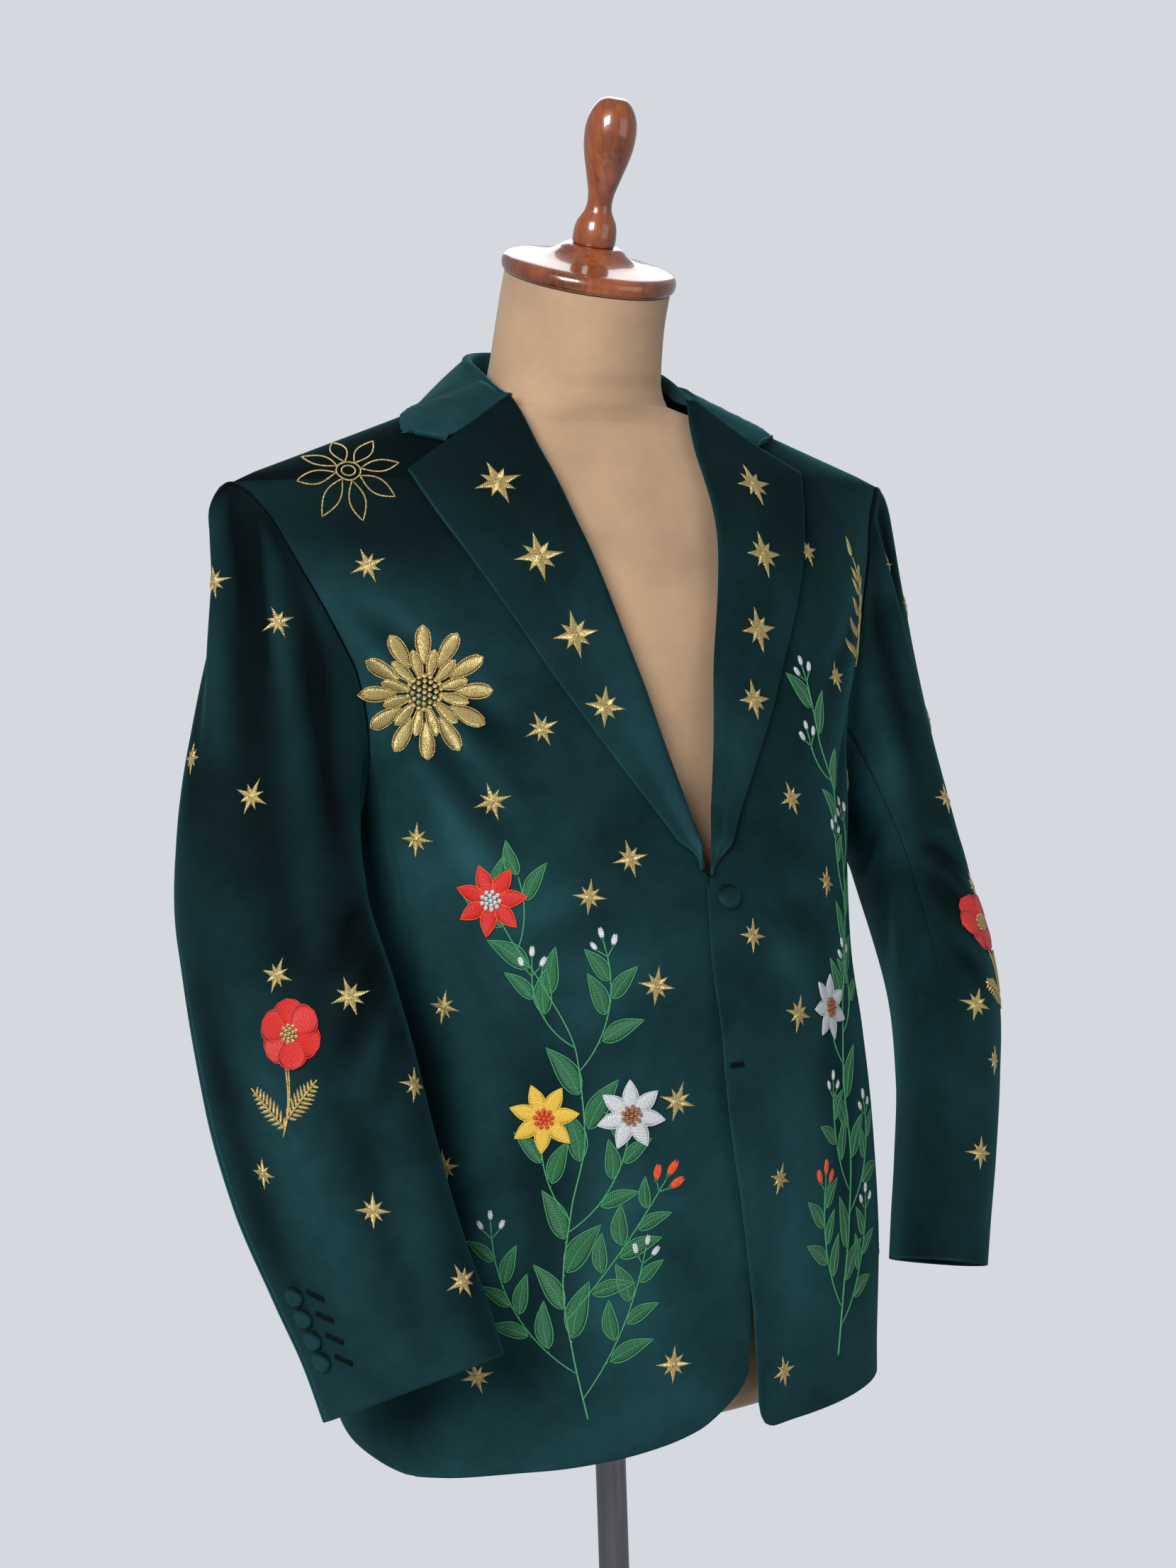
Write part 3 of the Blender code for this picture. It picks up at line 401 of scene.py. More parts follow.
# Creases of the body: from angle and height to angle and height, half width, depth with minus for a trough
BODY_CREASES = {
    -1: np.array([
        (1.05, 1.375, 0.62, 1.290, 0.011, -0.0030), (1.05, 1.350, 0.70, 1.262, 0.014, 0.0026),
        (1.02, 1.310, 0.66, 1.215, 0.010, -0.0022), (1.00, 1.275, 0.80, 1.190, 0.012, 0.0016),
        (0.30, 1.180, 0.75, 1.150, 0.012, -0.0018), (0.22, 1.160, 0.62, 1.095, 0.013, 0.0016),
        (0.62, 1.120, 0.70, 0.860, 0.026, -0.0022), (0.95, 1.080, 0.92, 0.850, 0.022, 0.0024),
        (1.25, 1.120, 1.22, 0.840, 0.018, -0.0024), (0.36, 1.020, 0.42, 0.870, 0.020, 0.0014),
        (2.20, 1.420, 2.75, 1.330, 0.016, -0.0030), (2.15, 1.360, 2.60, 1.260, 0.014, 0.0024),
        (2.10, 1.300, 2.50, 1.185, 0.016, -0.0026), (2.85, 1.180, 2.75, 0.900, 0.024, 0.0026),
        (2.45, 1.120, 2.40, 0.850, 0.020, -0.0024), (1.75, 1.160, 1.80, 0.870, 0.018, 0.0020),
        (2.60, 1.130, 3.05, 1.150, 0.010, -0.0018),
    ]),
    1: np.array([
        (1.04, 1.365, 0.66, 1.300, 0.012, -0.0026), (1.06, 1.335, 0.74, 1.255, 0.012, 0.0022),
        (1.00, 1.290, 0.72, 1.200, 0.012, -0.0020), (0.28, 1.172, 0.66, 1.128, 0.012, -0.0016),
        (0.20, 1.150, 0.50, 1.080, 0.014, 0.0014), (0.52, 1.140, 0.58, 0.880, 0.024, -0.0020),
        (0.86, 1.100, 0.90, 0.850, 0.024, 0.0026), (1.18, 1.150, 1.16, 0.850, 0.020, -0.0026),
        (0.17, 1.075, 0.21, 0.880, 0.012, 0.0008),
        (2.25, 1.430, 2.80, 1.345, 0.015, -0.0028), (2.12, 1.350, 2.55, 1.235, 0.015, 0.0026),
        (2.15, 1.280, 2.60, 1.165, 0.014, -0.0022), (2.70, 1.170, 2.82, 0.880, 0.026, 0.0024),
        (2.35, 1.150, 2.30, 0.860, 0.018, -0.0022), (1.70, 1.120, 1.68, 0.850, 0.020, 0.0022),
    ]),
}
# Creases of a sleeve: from turn and share of its length to turn and share, half width, depth
SLEEVE_CREASES = {
    -1: np.array([
        (0.35, 0.02, 0.62, 0.20, 0.008, -0.0036), (0.75, 0.03, 0.95, 0.24, 0.009, 0.0020),
        (-0.10, 0.03, 0.05, 0.30, 0.012, 0.0022), (-0.45, 0.05, -0.30, 0.34, 0.012, -0.0026),
        (1.25, 0.05, 1.40, 0.34, 0.010, -0.0028), (1.05, 0.22, 0.90, 0.52, 0.014, 0.0020),
        (1.60, 0.40, 0.85, 0.50, 0.008, -0.0020), (1.55, 0.47, 0.70, 0.60, 0.009, -0.0022),
        (1.58, 0.56, 0.95, 0.66, 0.008, -0.0016), (0.10, 0.42, 0.05, 0.86, 0.016, 0.0016),
        (-0.55, 0.50, -0.50, 0.88, 0.014, -0.0018), (0.62, 0.66, 0.50, 0.97, 0.012, -0.0012),
        (2.40, 0.30, 3.10, 0.46, 0.010, -0.0028), (2.45, 0.44, 3.30, 0.56, 0.010, -0.0026),
        (4.40, 0.18, 4.55, 0.50, 0.012, -0.0028), (3.90, 0.40, 4.10, 0.85, 0.014, 0.0022),
    ]),
    1: np.array([
        (0.40, 0.02, 0.58, 0.18, 0.008, -0.0030), (0.80, 0.03, 0.90, 0.26, 0.009, 0.0022),
        (-0.15, 0.03, -0.05, 0.26, 0.012, 0.0020), (-0.50, 0.05, -0.40, 0.36, 0.012, -0.0024),
        (1.22, 0.04, 1.36, 0.30, 0.010, -0.0026), (1.00, 0.20, 0.95, 0.50, 0.014, 0.0020),
        (1.62, 0.38, 0.90, 0.47, 0.008, -0.0022), (1.60, 0.45, 0.80, 0.57, 0.009, -0.0020),
        (1.55, 0.55, 1.00, 0.63, 0.008, -0.0016), (0.30, 0.40, 0.20, 0.80, 0.016, 0.0018),
        (-0.60, 0.48, -0.55, 0.90, 0.014, -0.0016), (2.45, 0.28, 3.20, 0.44, 0.010, -0.0028),
        (2.50, 0.43, 3.25, 0.58, 0.010, -0.0024), (4.30, 0.20, 4.60, 0.52, 0.012, -0.0026),
        (3.80, 0.42, 4.00, 0.80, 0.014, 0.0020),
    ]),
}
# Metres to a unit of the body's angle, of a sleeve's turn and of its length
BODY_ARC, SLEEVE_ARC, SLEEVE_RUN = 0.185, 0.058, 0.60


def crease(a, b, rows, wide, tall):
    """Depth of all creases at a point; wide and tall turn its two measures into metres."""
    x0, y0, x1, y1 = rows[:, 0] * wide, rows[:, 1] * tall, rows[:, 2] * wide, rows[:, 3] * tall
    x, y = a * wide, b * tall
    dx, dy = x1 - x0, y1 - y0
    along = ((x - x0) * dx + (y - y0) * dy) / (dx * dx + dy * dy)
    near = np.clip(along, 0, 1)
    apart = np.hypot(x - x0 - near * dx, y - y0 - near * dy)
    fade = np.clip(np.minimum(along + 0.15, 1.15 - along) / 0.45, 0, 1)
    fade = fade * fade * (3 - 2 * fade)
    q = apart / rows[:, 4]
    return float((rows[:, 5] * (np.exp(-q * q) - 0.35 * np.exp(-((q - 2.0) ** 2))) * fade).sum())


# Creases die out over this distance from the armhole's edge, so that its seam stays closed
ARMHOLE_CALM = 0.014
# Heights between which the body's creases die out towards the shoulder
SHOULDER_CALM = (1.415, 1.455)
ARMHOLE_STEPS = 360
ARMHOLE_EDGE = KDTree(ARMHOLE_STEPS)
for place in range(ARMHOLE_STEPS):
    fore, up = armhole(2 * math.pi * place / ARMHOLE_STEPS)
    ARMHOLE_EDGE.insert(body_point(angle_at_y(fore, up), up), place)
ARMHOLE_EDGE.balance()


def body_crease(angle, z, side):
    calm = ease(ARMHOLE_EDGE.find(body_point(angle, z))[2] / ARMHOLE_CALM)
    calm *= 1 - ease_between(z, *SHOULDER_CALM)
    return crease(angle, z, BODY_CREASES[side], BODY_ARC, 1.0) * calm


def sleeve_crease(turn, s, side):
    turn = (turn + 1.25) % (2 * math.pi) - 1.25
    return crease(turn, s, SLEEVE_CREASES[side], SLEEVE_ARC, SLEEVE_RUN) * ease_between(s, 0.0, 0.06)


def ends_fine(count, first=0.0016, last=0.0016):
    """Steps from 0 to 1 with a few close ones at both ends, for the turn of an edge."""
    inner = np.linspace(0, 1, count)
    extra = np.array([first, first * 3, 1 - last * 3, 1 - last])
    return np.unique(np.concatenate([inner, extra]))


# Meshes
def new_mesh(name, verts, faces, look, uvs=None, painted_light=None):
    mesh = bpy.data.meshes.new(name)
    mesh.from_pydata([tuple(v) for v in verts], [], faces)
    obj = bpy.data.objects.new(name, mesh)
    bpy.context.scene.collection.objects.link(obj)
    mesh.materials.append(look)
    mesh.polygons.foreach_set("use_smooth", [True] * len(mesh.polygons))
    if uvs is not None:
        layer = mesh.uv_layers.new(name="thread")
        at = np.empty(len(mesh.loops), np.int32)
        mesh.loops.foreach_get("vertex_index", at)
        layer.data.foreach_set("uv", np.asarray(uvs, np.float32)[at].ravel())
    # Marks of painted light and shade, which the velvet's colour reads
    if painted_light is not None:
        mesh.attributes.new("painted_light", "FLOAT", "POINT").data.foreach_set("value", np.asarray(painted_light, np.float32))
    mesh.update()
    return obj


def take_place(obj, node):
    """The piece rides with the part and takes its solid's place."""
    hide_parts(node)
    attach(obj, "root")


# How far a cloth's rounded edge stands out
EDGE_SWELL = 0.0005


def normals_of(grid):
    n = np.cross(np.gradient(grid, axis=1), np.gradient(grid, axis=0))
    return n / np.maximum(np.linalg.norm(n, axis=2, keepdims=True), 1e-12)


def shell(node, outer, wall, look, side=1, normals=None, painted_light=None):
    """A cloth wall on a grid of points, with a rounded edge all round, in its solid's place.

    A mirrored one is turned the right way out. Its last argument marks the painted light and shade
    at each point, 1 lighter on a ridge and -1 darker in a trough.
    """
    n = normals_of(outer) if normals is None else normals
    inner = outer - wall * n
    rows, cols = outer.shape[:2]
    size = rows * cols
    loop = [(0, j) for j in range(cols)] + [(i, cols - 1) for i in range(1, rows)]
    loop += [(rows - 1, j) for j in range(cols - 2, -1, -1)] + [(i, 0) for i in range(rows - 2, 0, -1)]
    rim = []
    for i, j in loop:
        away = np.zeros(3)
        if i in (0, rows - 1):
            away += unit(outer[i, j] - outer[1 if i == 0 else rows - 2, j])
        if j in (0, cols - 1):
            away += unit(outer[i, j] - outer[i, 1 if j == 0 else cols - 2])
        away -= n[i, j] * away.dot(n[i, j])
        rim.append((outer[i, j] + inner[i, j]) / 2 + unit(away) * EDGE_SWELL)
    faces = []
    for i in range(rows - 1):
        for j in range(cols - 1):
            a, b = i * cols + j, (i + 1) * cols + j
            faces.append((a, b, b + 1, a + 1))
            faces.append((size + a, size + a + 1, size + b + 1, size + b))
    for k, (i, j) in enumerate(loop):
        m = (k + 1) % len(loop)
        a, b = i * cols + j, loop[m][0] * cols + loop[m][1]
        c, d = 2 * size + k, 2 * size + m
        faces.append((a, b, d, c))
        faces.append((c, d, size + b, size + a))
    if np.cross(outer[1, 0] - outer[0, 0], outer[0, 1] - outer[0, 0]).dot(n[0, 0]) * side < 0:
        faces = [f[::-1] for f in faces]
    verts = np.concatenate([outer.reshape(-1, 3), inner.reshape(-1, 3), np.array(rim)])
    painted_light = np.zeros((rows, cols)) if painted_light is None else np.array(painted_light)
    marks = np.concatenate([painted_light.ravel(), painted_light.ravel(), [painted_light[i, j] for i, j in loop]])
    obj = new_mesh(f"{node}_cloth", mirror(verts, side), faces, look, painted_light=marks)
    take_place(obj, node)


def panel(node, side, rows, steps, place):
    """A velvet panel; place gives the point, the normal and the mark of painted light and shade at a step
    across and at a row.
    """
    grid = [[place(c, row) for c in steps] for row in rows]
    outer, normals, painted_light = (np.array([[cell[k] for cell in row] for row in grid]) for k in range(3))
    shell(f"{node}_{SIDE_NAME[side]}", outer, WALL, LOOKS["velvet"], side, normals, painted_light)


# Fronts, backs and sides
def seam_dip(c, first, last):
    """Seams lie a little lower than the cloth beside them."""
    dip = (1 - ease(c / SEAM_WIDE)) * first + (1 - ease((1 - c) / SEAM_WIDE)) * last
    return -SEAM_DIP * dip


def hem_row_heights(count):
    low = np.linspace(HEM_Z, BREAK_Z, count)
    fine = HEM_Z + np.array((0.0022, 0.006))
    high = np.linspace(1.190, NECK_Z - 0.0002, count)
    return np.unique(np.round(np.concatenate([low, fine, high, (TIP_Z,)]), 5))


def above_hem(z_row, low):
    """A row's height over a hem that lies lower or higher than the level one."""
    return z_row + low * (1 - ease((z_row - HEM_Z) / HEM_LEVELS))


def set_back(p, n, way):
    """The point, moved by half a seam's gap from its edge."""
    return p + way * SEAM * unit(cross(UP, n))


def to_shoulder(p, n, z, way, at_edge):
    """Keeps a panel on its side of the shoulder seam; way is -1 for a front and 1 for a back."""
    if at_edge and z >= TIP_Z - 0.0005:
        p[1], n = way * SHOULDER_GAP, np.array((n[0], 0, n[2]))
    elif way * p[1] < SHOULDER_GAP and (way < 0 or z > SIDE_TOP):
        p[1] = way * SHOULDER_GAP
    return p, unit(n)


# A crease this deep gets the darkest painted shade in its trough and the lightest painted highlight on its
# ridge
CREASE_SHADE_DEPTH = 0.0026
# Painted shade on the fronts at the shoulder, how dark on each side, and from which height to which
SHOULDER_SHADE = {-1: -1.25, 1: -0.7}
SHOULDER_RUN = (1.370, 1.435)


def skin(angle, z, side):
    """The finished cloth's outer face, with its normal, on the wearer's left or as its mirror image."""
    n = body_normal(angle, z)
    return body_point(angle, z) + n * body_crease(angle, z, side), n


# Stitched groove along the left front's edge: how far in, depth and half width
PICK_IN, PICK_DEPTH, PICK_WIDE = 0.0046, 0.0006, 0.0012
# Width over which a front's hem is measured, and the farthest place on it
HEM_WIDE, HEM_FARTHEST = 0.20, 0.183


def front_panel(side):
    corner = CORNER_LEFT if side > 0 else CORNER_RIGHT

    def place(c, z_row):
        along = c * HEM_WIDE
        angle = angle_at_x(min(front_edge(HEM_Z, side) + along, HEM_FARTHEST), HEM_Z)
        z = above_hem(z_row, hem_height(angle, side) + look_up(corner, along) - HEM_Z)
        first = angle_at_x(front_edge(z, side), z)
        angle = first + c * (outer_angle(z, False) - first)
        p, n = skin(angle, z, side)
        p = p + n * seam_dip(c, False, True)
        if c == 1:
            p = set_back(p, n, -1)
        if side > 0:
            groove = PICK_DEPTH * math.exp(-(((c * 0.27 - PICK_IN) / PICK_WIDE) ** 2)) * (z < 1.18)
            p = p + n * over(p[0], z) - n * groove
        # Painted shade on the shoulder, added to the painted shade and highlight of the creases
        painted_shading = SHOULDER_SHADE[side] * ease_between(z, *SHOULDER_RUN)
        return *to_shoulder(p, n, z, -1, c == 1), body_crease(angle, z, side) / CREASE_SHADE_DEPTH + painted_shading

    steps = np.unique(np.concatenate([np.linspace(0, 1, 38) ** 1.35, (0.0016, 0.005, 0.98, 0.995)]))
    panel("front", side, hem_row_heights(46), steps, place)


def back_panel(side):
    def place(c, z_row):
        z = above_hem(z_row, hem_height(BACK_SEAM + c * (math.pi - BACK_SEAM), side) - HEM_Z)
        first = outer_angle(z, True)
        angle = first + c * (math.pi - first)
        p, n = skin(angle, z, side)
        p = p + n * seam_dip(c, True, True)
        if c == 0:
            p = set_back(p, n, 1)
        p, n = to_shoulder(p, n, z, 1, c == 0)
        p[0] = max(p[0], SEAM)
        # Painted shade in the creases' troughs and painted highlight on their ridges
        return p, n, body_crease(angle, z, side) / CREASE_SHADE_DEPTH

    panel("back", side, hem_row_heights(40), ends_fine(34), place)


def armhole_height(angle):
    """The height of the armhole's lower edge at an angle between the two side seams."""
    return armhole(halve(0.5 * math.pi, 1.5 * math.pi, lambda turn: angle_at_y(*armhole(turn)) <= angle))[1]


def side_panel(side):
    steps = ends_fine(20, 0.012, 0.012)
    tops = {c: armhole_height(SIDE_SEAM + c * (BACK_SEAM - SIDE_SEAM)) for c in steps}
    tops[0], tops[1] = SIDE_TOP, BACK_TOP

    def place(c, up):
        angle = SIDE_SEAM + c * (BACK_SEAM - SIDE_SEAM)
        foot = hem_height(angle, side)
        z = foot + up * (tops[c] - foot)
        p, n = skin(angle, z, side)
        p = p + n * (seam_dip(c * 0.6, True, False) + seam_dip(1 - (1 - c) * 0.6, False, True))
        if c in (0, 1):
            p = set_back(p, n, 1 if c == 0 else -1)
        # Painted shade in the creases' troughs and painted highlight on their ridges
        return p, n, body_crease(angle, z, side) / CREASE_SHADE_DEPTH

    panel("side", side, ends_fine(60, 0.004, 0.002), steps, place)


# Lapels
def front_point(x, z, side):
    """A point on a front at a distance from the centre, with its creases, and its normal."""
    return skin(angle_at_x(x, z), z, side)


def lapel_row(t, side, cols):
    """One row of a lapel's face, from its roll line to its free edge; t runs from the button to the gorge."""
    bottom = 1.190 if side > 0 else 1.1945
    z_in, z_out = (bottom + t * (top - bottom) for top in (LAPEL_TOP, LAPEL_TIP_Z))
    x_in = look_up(ROLL, z_in) if side > 0 else max(look_up(ROLL, z_in), look_up(RIGHT_TUCK, z_in))
    x_out = max(look_up(LAPEL_EDGE, z_out), x_in + ROLL_RADIUS + 0.002)
    a, na = front_point(x_in + ROLL_RADIUS, z_in, side)
    inward = a - front_point(x_out, z_out, side)[0]
    inward = unit(inward - na * inward.dot(na))
    lift = over(a[0], z_in) if side > 0 else 0.0
    flat = 1 - (ease((z_in - 1.194) / 0.012) if side > 0 else ease((z_in - 1.222) / 0.02))
    row = []
    for (u, v), (flat_u, flat_v) in zip(CURL_FINE, FLAT_FINE):
        u, v = u + (flat_u - u) * flat, v + (flat_v - v) * flat
        row.append(a + na * (lift + v * ROLL_RADIUS + 0.0010) + inward * u * ROLL_RADIUS)
    for c in cols:
        x, z = x_in + ROLL_RADIUS + c * (x_out - x_in - ROLL_RADIUS), z_in + c * (z_out - z_in)
        p, n = front_point(x, z, side)
        lift = over(p[0], z) if side > 0 else 0.0
        gap = 0.0012 + 0.0008 * (1 - ease((z_in - 1.22) / 0.04)) + 0.0030 * (1 - ease(c / 0.6))
        row.append(p + n * (lift + LAPEL_WALL + gap))
    return np.array(row)


def finer(points, count):
    """More points on a smooth line through a few."""
    points = np.array(points, float)
    table = np.column_stack([np.arange(len(points), dtype=float), points])
    places = np.linspace(0, len(points) - 1, count)
    return [tuple(look_up(table, at, k) for k in range(1, points.shape[1] + 1)) for at in places]


CURL_FINE, FLAT_FINE = finer(CURL, 13), finer(FLAT, 13)
LAPEL_STEPS = np.concatenate([(0.012, 0.04), np.linspace(0.08, 0.985, 24), (1.0,)])
# At its foot a lapel narrows to this share of its width, over this share of its length
LAPEL_FOOT, LAPEL_NARROWS = 0.22, 0.075
# Painted light at a lapel's foot and painted shade at its top
LAPEL_SHADE = (0.75, -0.60)


def lapel(side):
    """A lapel, running out to a point on the front edge; it is painted lighter towards the foot and darker
    towards the top.
    """
    outer, painted_light = [], []
    for t in ends_fine(64, 0.003, 0.003) ** 1.1:
        row = lapel_row(t, side, LAPEL_STEPS)
        keep = LAPEL_FOOT + (1 - LAPEL_FOOT) * ease(t / LAPEL_NARROWS)
        outer.append(row[0] + (row - row[0]) * keep)
        # Painted light at the foot, turning to painted shade at the top
        painted_light.append([LAPEL_SHADE[0] + (LAPEL_SHADE[1] - LAPEL_SHADE[0]) * t] * len(row))
    name = f"lapel_{SIDE_NAME[side]}"
    shell(name, np.array(outer), LAPEL_WALL, LOOKS["lapel"], side, painted_light=painted_light)


# Collar
FOLD, FALL_MID, FALL_EDGE = (
    np.column_stack([np.linspace(0, 1, len(guide)), guide]) for guide in (FOLD, FALL_MID, FALL_EDGE)
)


def station(table, u):
    """A point on a collar guide, u 0 at the notch and 1 at the centre back."""
    return np.array([look_up(table, u, k) for k in (1, 2, 3)])


# Share of the lapel's top edge that the collar follows, and the collar's rows on its stand, fold and fall
NOTCH = 0.60
STAND, TURNS, FALL = 4, 12, 22


def gorge_row():
    """The collar's front edge: along the lapel's top edge to the notch, then out to the collar's tip."""
    cols = (0.02, 0.10, 0.22, 0.38, 0.56, 0.74, 0.88, 1)
    top, below = (lapel_row(t, 1, cols) for t in (1, 0.96))
    lengths = np.concatenate([[0], np.cumsum(np.linalg.norm(np.diff(top, axis=0), axis=1))])
    evenly = np.linspace(0, lengths[-1], 400)
    full = np.column_stack([np.interp(evenly, lengths, top[:, k]) for k in range(3)])
    curl = lengths[len(CURL_FINE)] / lengths[-1]
    along = int(FALL * 0.6)
    keep = [*np.linspace(0, 0.95 * curl, STAND + TURNS), *np.linspace(curl, curl + NOTCH * (1 - curl), along)]
    row = [full[int(round(a * 399))] for a in keep]
    last, tip = row[-1], FALL_EDGE[0, 1:]
    row += [last * (1 - c) + tip * c for c in np.linspace(0, 1, FALL - along + 1)[1:]]
    onward = top[len(CURL_FINE) + 3] - below[len(CURL_FINE) + 3]
    return np.array(row) + 0.0021 * unit(onward)


def collar_row(u, front):
    """One row of the collar: up its stand, over the fold and down the fall to its outer edge."""
    fold, mid, edge = (station(table, u) for table in (FOLD, FALL_MID, FALL_EDGE))
    outward = unit(np.array((mid[0] - fold[0], mid[1] - fold[1], 0)))
    rise = np.array((0, 0, ROLL_RADIUS))
    centre = fold - rise
    low = min(0.0012 + 0.0275 * ease(u / 0.75), max(centre[2] - NECK_Z - 0.0013, 0.004))
    inside = centre - outward * (ROLL_RADIUS + 0.0005)
    row = [inside - np.array((0, 0, low * k)) for k in np.linspace(1, 0.12, STAND)]
    turns = np.linspace(math.pi, 0.12, TURNS)
    row += [centre + outward * ROLL_RADIUS * math.cos(t) + rise * math.sin(t) for t in turns]
    start = centre + outward * ROLL_RADIUS
    bend = 2 * mid - (start + edge) / 2
    row += [(1 - c) ** 2 * start + c * c * edge + 2 * c * (1 - c) * bend for c in np.linspace(0, 1, FALL)]
    blend = ease(u / 0.2)
    row = np.array(row) * blend + front * (1 - blend)
    for k in range(STAND + TURNS, len(row)):
        row[k] = off_body(row[k], LAPEL_WALL + (0.0012 if u else 0.0008))
    return row


def collar():
    front = gorge_row()
    steps = np.unique(np.concatenate([np.linspace(0, 1, 48), (0.003, 0.009)]))
    half = np.array([collar_row(u, front) for u in steps])
    whole = np.concatenate([half, mirror(half[::-1][1:], -1)])
    shell("collar", whole, LAPEL_WALL, LOOKS["collar"])


# Sleeves
def sleeve_ring(z, turn, side):
    """A point on a sleeve ring: turn 0 outside, a quarter in front, a half inside."""
    x, y, deep, wide, twist, slope = (look_up(SLEEVE_UP, z, k) for k in range(1, 7))
    c, s = math.cos(turn), math.sin(turn)
    n = 2 / 2.25
    out, fore = math.copysign(wide * abs(c) ** n, c), math.copysign(deep * abs(s) ** n, s)
    t = math.radians(twist)
    low = max((SLEEVE[0, 0] - z) / (SLEEVE[0, 0] - SLEEVE[-1, 0]), 0.0) if side > 0 else 0.0
    return np.array((
        x + out * math.cos(t) - fore * math.sin(t),
        y - out * math.sin(t) - fore * math.cos(t),
        z + LEFT_LIFT * low**1.5 + (slope + LEFT_SLOPE * low) * fore - LEFT_DROP * low * out,
    ))


def sleeve_start(turn):
    """The armhole's edge on the body with the body's normal."""
    y, z = armhole(turn)
    angle = angle_at_y(y, z)
    return body_point(angle, z), body_normal(angle, z)


def sleeve_point(turn, s, side):
    """s 0 at the armhole, 1 at the cuff."""
    top = SLEEVE[0, 0]
    if s >= SPLIT:
        return sleeve_ring(top + (s - SPLIT) / (1 - SPLIT) * (SLEEVE[-1, 0] - top), turn, side)
    h = s / SPLIT
    a, n = sleeve_start(turn)
    b = sleeve_ring(top, turn, side)
    down = (sleeve_ring(top - 0.01, turn, side) - b) * 100
    eighth = (turn / (math.pi / 4)) % 8
    k, part = int(eighth), ease(eighth - int(eighth))
    leave = LEAVE[k] * (1 - part) + LEAVE[(k + 1) % 8] * part
    a = a + n * CLEAR + unit(leave) * 0.0004
    p = hermite(h, a, leave, b, down * np.linalg.norm(b - a))
    p = p + look_up(HEAD, h) * max(math.cos(turn + 0.8), 0.0) ** 1.5 * HEAD_WAY
    return p if h < 0.02 else off_body(p, 0.0009 + 0.0030 * ease(h / 0.3))


def sleeve_normal(turn, s, side):
    across = sleeve_point(turn + 0.04, s, side) - sleeve_point(turn - 0.04, s, side)
    down = sleeve_point(turn, min(s + 0.01, 1), side) - sleeve_point(turn, max(s - 0.01, 0), side)
    return unit(cross(across, down))


def sleeve_skin(turn, s, side):
    p, n = sleeve_point(turn, s, side), sleeve_normal(turn, s, side)
    p = p + n * sleeve_crease(turn, s, side)
    if 0.009 < s < SPLIT and 1.1 < p[2] < TIP_Z:
        body = max(body_crease(angle_at_y(p[1], p[2]), p[2], side), 0.0)
        p = off_body(p, 0.0009 + body + 0.0024 * ease(s / 0.13))
    return p, n


# Painted shade on a sleeve at its head and at its cuff, darker on the wearer's right
SLEEVE_SHADE = {-1: (-1.6, -0.65), 1: (-0.8, -0.05)}
# Half the gap between the two sleeve pieces, as a turn
SLEEVE_GAP = 0.0042


def sleeve(side, part):
    turns = (ELBOW_SEAM - 2 * math.pi, FRONT_SEAM) if part == "top" else (FRONT_SEAM, ELBOW_SEAM)
    first, last = turns[0] + SLEEVE_GAP, turns[1] - SLEEVE_GAP
    head, cuff = SLEEVE_SHADE[side]

    def place(c, s):
        turn = first + c * (last - first)
        p, n = sleeve_skin(turn, s, side)
        # Painted shade from head to cuff, and painted light on the front of the upper sleeve beside the
        # chest, where shade falls
        painted_shading = head + (cuff - head) * ease((s - 0.12) / 0.65)
        painted_shading += 0.7 * ease_between(turn, 0.75, 1.35) * (1 - ease((s - 0.35) / 0.4))
        p = p + n * seam_dip(c, True, True) * ease(s / 0.03)
        return p, n, sleeve_crease(turn, s, side) / CREASE_SHADE_DEPTH + painted_shading

    rows = np.unique(np.concatenate([np.linspace(0, 1, 92), (0.004, 0.996)]))
    panel(f"{part}_sleeve", side, rows, ends_fine(34, 0.006, 0.006), place)


# Turned shapes
def lathe(name, profile, look, steps, place=None):
    inside = [(h, r) for h, r in profile if r > 0]
    verts = [(0, 0, inside[0][0]), (0, 0, inside[-1][0])]
    for h, r in inside:
        for k in range(steps):
            t = 2 * math.pi * k / steps
            verts.append((r * math.cos(t), r * math.sin(t), h))
    faces = []
    top = 2 + (len(inside) - 1) * steps
    for k in range(steps):
        m = (k + 1) % steps
        faces.append((0, 2 + m, 2 + k))
        faces.append((1, top + k, top + m))
        for i in range(len(inside) - 1):
            a, b = 2 + i * steps, 2 + (i + 1) * steps
            faces.append((a + k, a + m, b + m, b + k))
    verts = np.array(verts, float)
    return new_mesh(name, verts if place is None else place(verts), faces, look)


def rounded(profile, times):
    """A smooth profile through the rows of a coarse one; its first and last rows close it."""
    inside = np.array([row for row in profile if row[1] > 0])
    lengths = np.concatenate([[0], np.cumsum(np.hypot(*np.diff(inside, axis=0).T))])
    keyed = np.column_stack([lengths, inside])
    return [tuple(look_up(keyed, at, k) for k in (1, 2)) for at in np.linspace(0, lengths[-1], times)]


def button(name, centre, normal, size):
    radius, thick = size
    profile = rounded([(h * thick, r * radius) for h, r in BUTTON_PROFILE], 22)
    across = unit(cross(normal, UP))
    turn = np.array((across, cross(across, normal), normal))
    obj = lathe(f"{name}_velvet", profile, LOOKS["velvet"], 40, lambda v: v @ turn + centre)
    take_place(obj, name)


def cuff_share(z):
    """How far down a sleeve a height near its cuff lies."""
    return SPLIT + (1 - SPLIT) * (SLEEVE[0, 0] - z) / (SLEEVE[0, 0] - SLEEVE[-1, 0])


